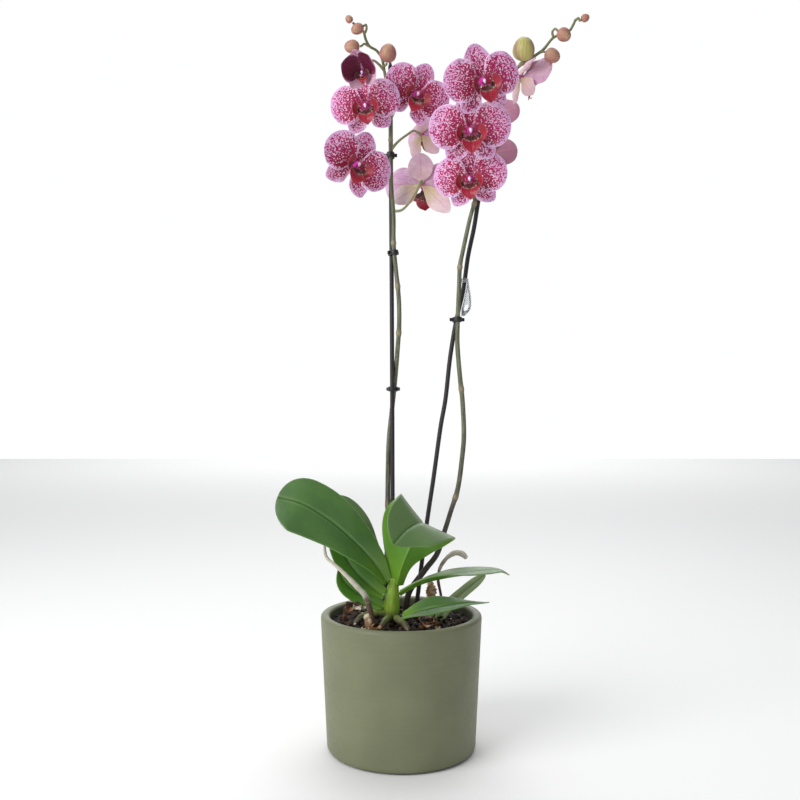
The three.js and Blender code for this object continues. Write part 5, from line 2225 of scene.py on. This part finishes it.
def roots() -> list[AerialRoot]:
    """The two roots in the air.

    Returns:
        The roots, left and right.
    """
    return [
        AerialRoot(
            "aerial_root_left",
            [(-25, -19, 101), (-27, -20, 124), (-32, -22, 140), (-39, -23, 148), (-49, -22, 158), (-58, -20, 166),
             (-66, -18, 173), (-68, -15, 185)],
            [2.6, 2.6, 2.5, 2.2, 1.6, 1.4, 1.2], [1.2, 0.8, 0.15, 0.05, 0.0, 0.0, 0.15],
        ),
        AerialRoot(
            "aerial_root_right",
            [(38, 24, 100), (37, 23, 128), (34, 21, 146), (36, 19, 157), (43, 17, 167), (50, 15, 171), (56, 14, 170),
             (60, 13, 166)],
            [1.3, 1.3, 1.4, 1.8, 2.4, 2.7, 2.2], [1.0, 0.8, 0.3, 0.05, 0.05],
        ),
    ]  # fmt: skip


def flowers() -> list[Flower]:
    """The twelve flowers with the routes of their stalks.

    Returns:
        The flowers, spike by spike.
    """
    rows = [
        ("bloom_a1", (-32, -42, 590), -14, 10, -12, 0.7, 1, [(-15.2, -2, 606.5), (-20, -14, 608), (-26, -30, 605)]),
        ("bloom_a2", (-31, -22, 568.5), -4, 12, -10, 0.83, 0, [(-11.5, 0, 583), (-17, -4, 581), (-27, -8, 572)]),
        ("bloom_a3", (-40, -24, 516.5), 26, 10, 24, 0.9, 0, [(-9.3, 1, 520), (-18, -1, 528), (-33, -9, 525)]),
        ("bloom_a4", (12.5, -16, 580.5), 16, 12, 23, 0.84, 0, [(-9.9, 0, 563), (-4, 0, 574), (9, -2, 584)]),
        ("bloom_a5", (19, 14, 508), 172, 14, 6, 0.94, 0.15, [(-7, 1, 481), (0, 1, 482), (8, 2, 490), (14, 4, 500)]),
        ("bloom_a6", (19, 20, 555), 150, 4, 0, 0.72, 0.55, [(-9.5, 1, 536), (-3, 2, 544), (6, 6, 552), (11, 9, 556)]),
        ("bloom_b1", (67, -55, 578), 14, 12, -15, 0.9, 0, [(90.6, -8, 583), (86, -16, 590), (75, -32, 590)]),
        ("bloom_b2", (59, -36, 542.5), 0, 12, -3, 0.95, 0, [(77, -2, 535), (74, -8, 544), (65, -20, 546)]),
        ("bloom_b3", (61.5, -15, 506.5), -13, 12, -5, 0.88, 0, [(66, 0, 489), (64, 0, 498), (61, -4, 506)]),
        ("bloom_b4", (108, -3, 600), 118, 14, 0, 0.78, 0.45, [(107, -14.5, 609), (103, -10, 606), (101, -5, 600)]),
        ("bloom_b5", (85, 18, 574), 158, 8, 0, 0.64, 0.3, [(83, -5, 560), (84, 2, 568), (88, 7, 573)]),
        ("bloom_b6", (81, 17, 537), 165, 8, 0, 0.7, 0.3, [(70.8, 0, 509), (74, 2, 522), (81, 5, 534)]),
    ]
    # painted shade on the backs of the flowers that face away
    back_shades = {"bloom_a6": 0.15, "bloom_b4": 0.3, "bloom_b5": 0.75, "bloom_b6": 0.8}
    made = []
    for k, row in enumerate(rows):
        flower = Flower(*row, blush=back_shades.get(row[0], 0.0), hook=row[0] == "bloom_b4", seed=k)
        if flower.name == "bloom_a5":
            flower.laterals = ((143, 38), (116, 31))
        made.append(flower)
    return made


def buds() -> list[tuple[Bud, Line]]:
    """The eight buds, each with the route of its stalk, which ends just under the bud.

    Returns:
        Pairs of a bud and its route; a bud that sits on the stem has an empty route.
    """
    rows = [
        (("bud_a1", (-43.6, -17.3, 643.8), (-0.6, -0.2, 0.6), 7, 3.3), []),
        (("bud_a2", (-33.5, -22, 638.5), (-0.85, -0.1, -0.45), 11.5, 4.8),
         [(-33, -12, 635), (-30.8, -15, 638.5), (-31, -20, 640.5)]),
        (("bud_a3", (-37, -14, 624), (-0.95, -0.1, -0.1), 13.5, 5.9), [(-29, -9, 626), (-33, -11.5, 627)]),
        (("bud_a4", (-13, -10, 611), (0.15, -0.3, 0.95), 16, 7.6), [(-16, -2.5, 610), (-15, -7, 609)]),
        (("bud_b1", (106.5, -22.5, 607.5), (0.02, -0.3, 0.95), 20.2, 9.6), [(108.5, -15, 609.5), (107, -19, 606)]),
        (("bud_b2", (136, -31, 630.5), (0.7, -0.25, -0.6), 12.5, 5.9),
         [(132.8, -24, 627.5), (131.5, -27, 631.5), (133.5, -30, 633)]),
        (("bud_b3", (126, -22, 615.5), (0.85, -0.1, -0.45), 14, 6.3), [(121.5, -19.3, 616.6), (123.5, -21, 616.2)]),
        (("bud_b4", (156.5, -28, 641.5), (0.7, 0, 0.35), 7.5, 3.5), [(151.4, -28, 641), (154, -28, 643)]),
    ]  # fmt: skip
    made = []
    for values, route in rows:
        bud = Bud(*values)
        axis = Vector(bud.towards).normalized()
        ends = [tuple(Vector(bud.foot) - axis * gap) for gap in (1.6, 0.3)]
        made.append((bud, [*route, *ends] if route else []))
    return made


def main() -> None:
    """Builds the plant around the frame, piece by piece."""
    logging.basicConfig(level=logging.INFO, format="%(name)s %(message)s")
    Studio().build()
    Pot().build(Glaze("sage_glaze", specular=0.4).material())
    PottingMix().build(Bark("damp_bark", specular=0.3).material())
    Crown().build(CrownSkin("crown_skin", roughness=0.45, subsurface=0.08).material())
    leaf_skin = LeafSkin("leaf_skin", subsurface=0.04, scatter=(0.4, 1.0, 0.2), specular=0.55).material()
    for leaf in leaves():
        leaf.build(leaf_skin)
    paper = SheathPaper("dry_paper", roughness=0.8).material()
    for sheath in sheaths():
        sheath.build(paper)
    root_skin = RootSkin("root_skin", roughness=0.75).material()
    for root in roots():
        root.build(root_skin)
    stain = StakeStain("stake_stain").material()
    Stake("stake_left", LEFT_STAKE).build(stain)
    Stake("stake_right", RIGHT_STAKE).build(stain)
    black = ClipPlastic("black_plastic", roughness=0.4).material()
    for clip in (
        Clip("clip_left_low", (-7.4, 8.8, 321), 72, 5.8, 3),
        Clip("clip_left_high", (-7.4, 3.5, 444), 114, 5.6, 2),
        Clip("clip_left_top", (-9.6, 3.5, 532), 88, 5.2, 2.4),
        Clip("clip_right", (50.3, 2, 383.5), 97, 6, 3, slack=0.35),
    ):
        clip.build(black)
    ClearClip().build(ClearPlastic("clear_plastic", roughness=0.12).material())
    petal = PetalSkin("petal_skin", subsurface=0.12, depth=0.0015, scatter=(1.0, 0.45, 0.6), sheen=0.03).material()
    # the half-open flower's petals, with painted shade inside the cup
    deep = PetalSkin("young_petal_cup_shade", subsurface=0.08, depth=0.0015, scatter=(1.0, 0.4, 0.5), deep=1.0).material()
    column = ColumnSkin("column_skin", roughness=0.4, subsurface=0.1).material()
    lip = LipSkin("lip_skin", roughness=0.38, coat=0.15).material()
    # the half-open flower's lip, with painted shade on its side lobes
    young_lip = LipSkin("young_lip_shaded_lobes", roughness=0.38, coat=0.15, deep=1.0).material()
    blooms = flowers()
    for flower in blooms:
        young = flower.closed == 1
        flower.build(deep if young else petal, column, young_lip if young else lip)
    pink = BudSkin("bud_skin", roughness=0.55, subsurface=0.1).material()
    fresh = BudSkin(
        "green_bud_skin", roughness=0.5, subsurface=0.08, warm=(0.5, 0.46, 0.13), pale=(0.5, 0.45, 0.17),
        rim=(0.42, 0.28, 0.18), stripe=(0.2, 0.15, 0.05),
    ).material()
    closed = buds()
    for bud, _ in closed:
        green = bud.name == "bud_b1"
        bud.build(fresh if green else pink, Slot.GREEN_BUD if green else Slot.BUD)
    stem_skin = StemSkin("stem_skin").material()
    for name, line, rings, letter in (
        ("spike_left", LEFT_STEM, [216, 371, 413, 452, 545], "a"),
        ("spike_right", RIGHT_STEM, [223, 320.5, 430, 487, 608], "b"),
    ):
        routes = [route for bud, route in closed if bud.name.startswith("bud_" + letter) and route]
        own = [flower for flower in blooms if flower.name.startswith("bloom_" + letter)]
        Spike(name, line, rings, routes, own).build(stem_skin)


if __name__ == "__main__":
    main()
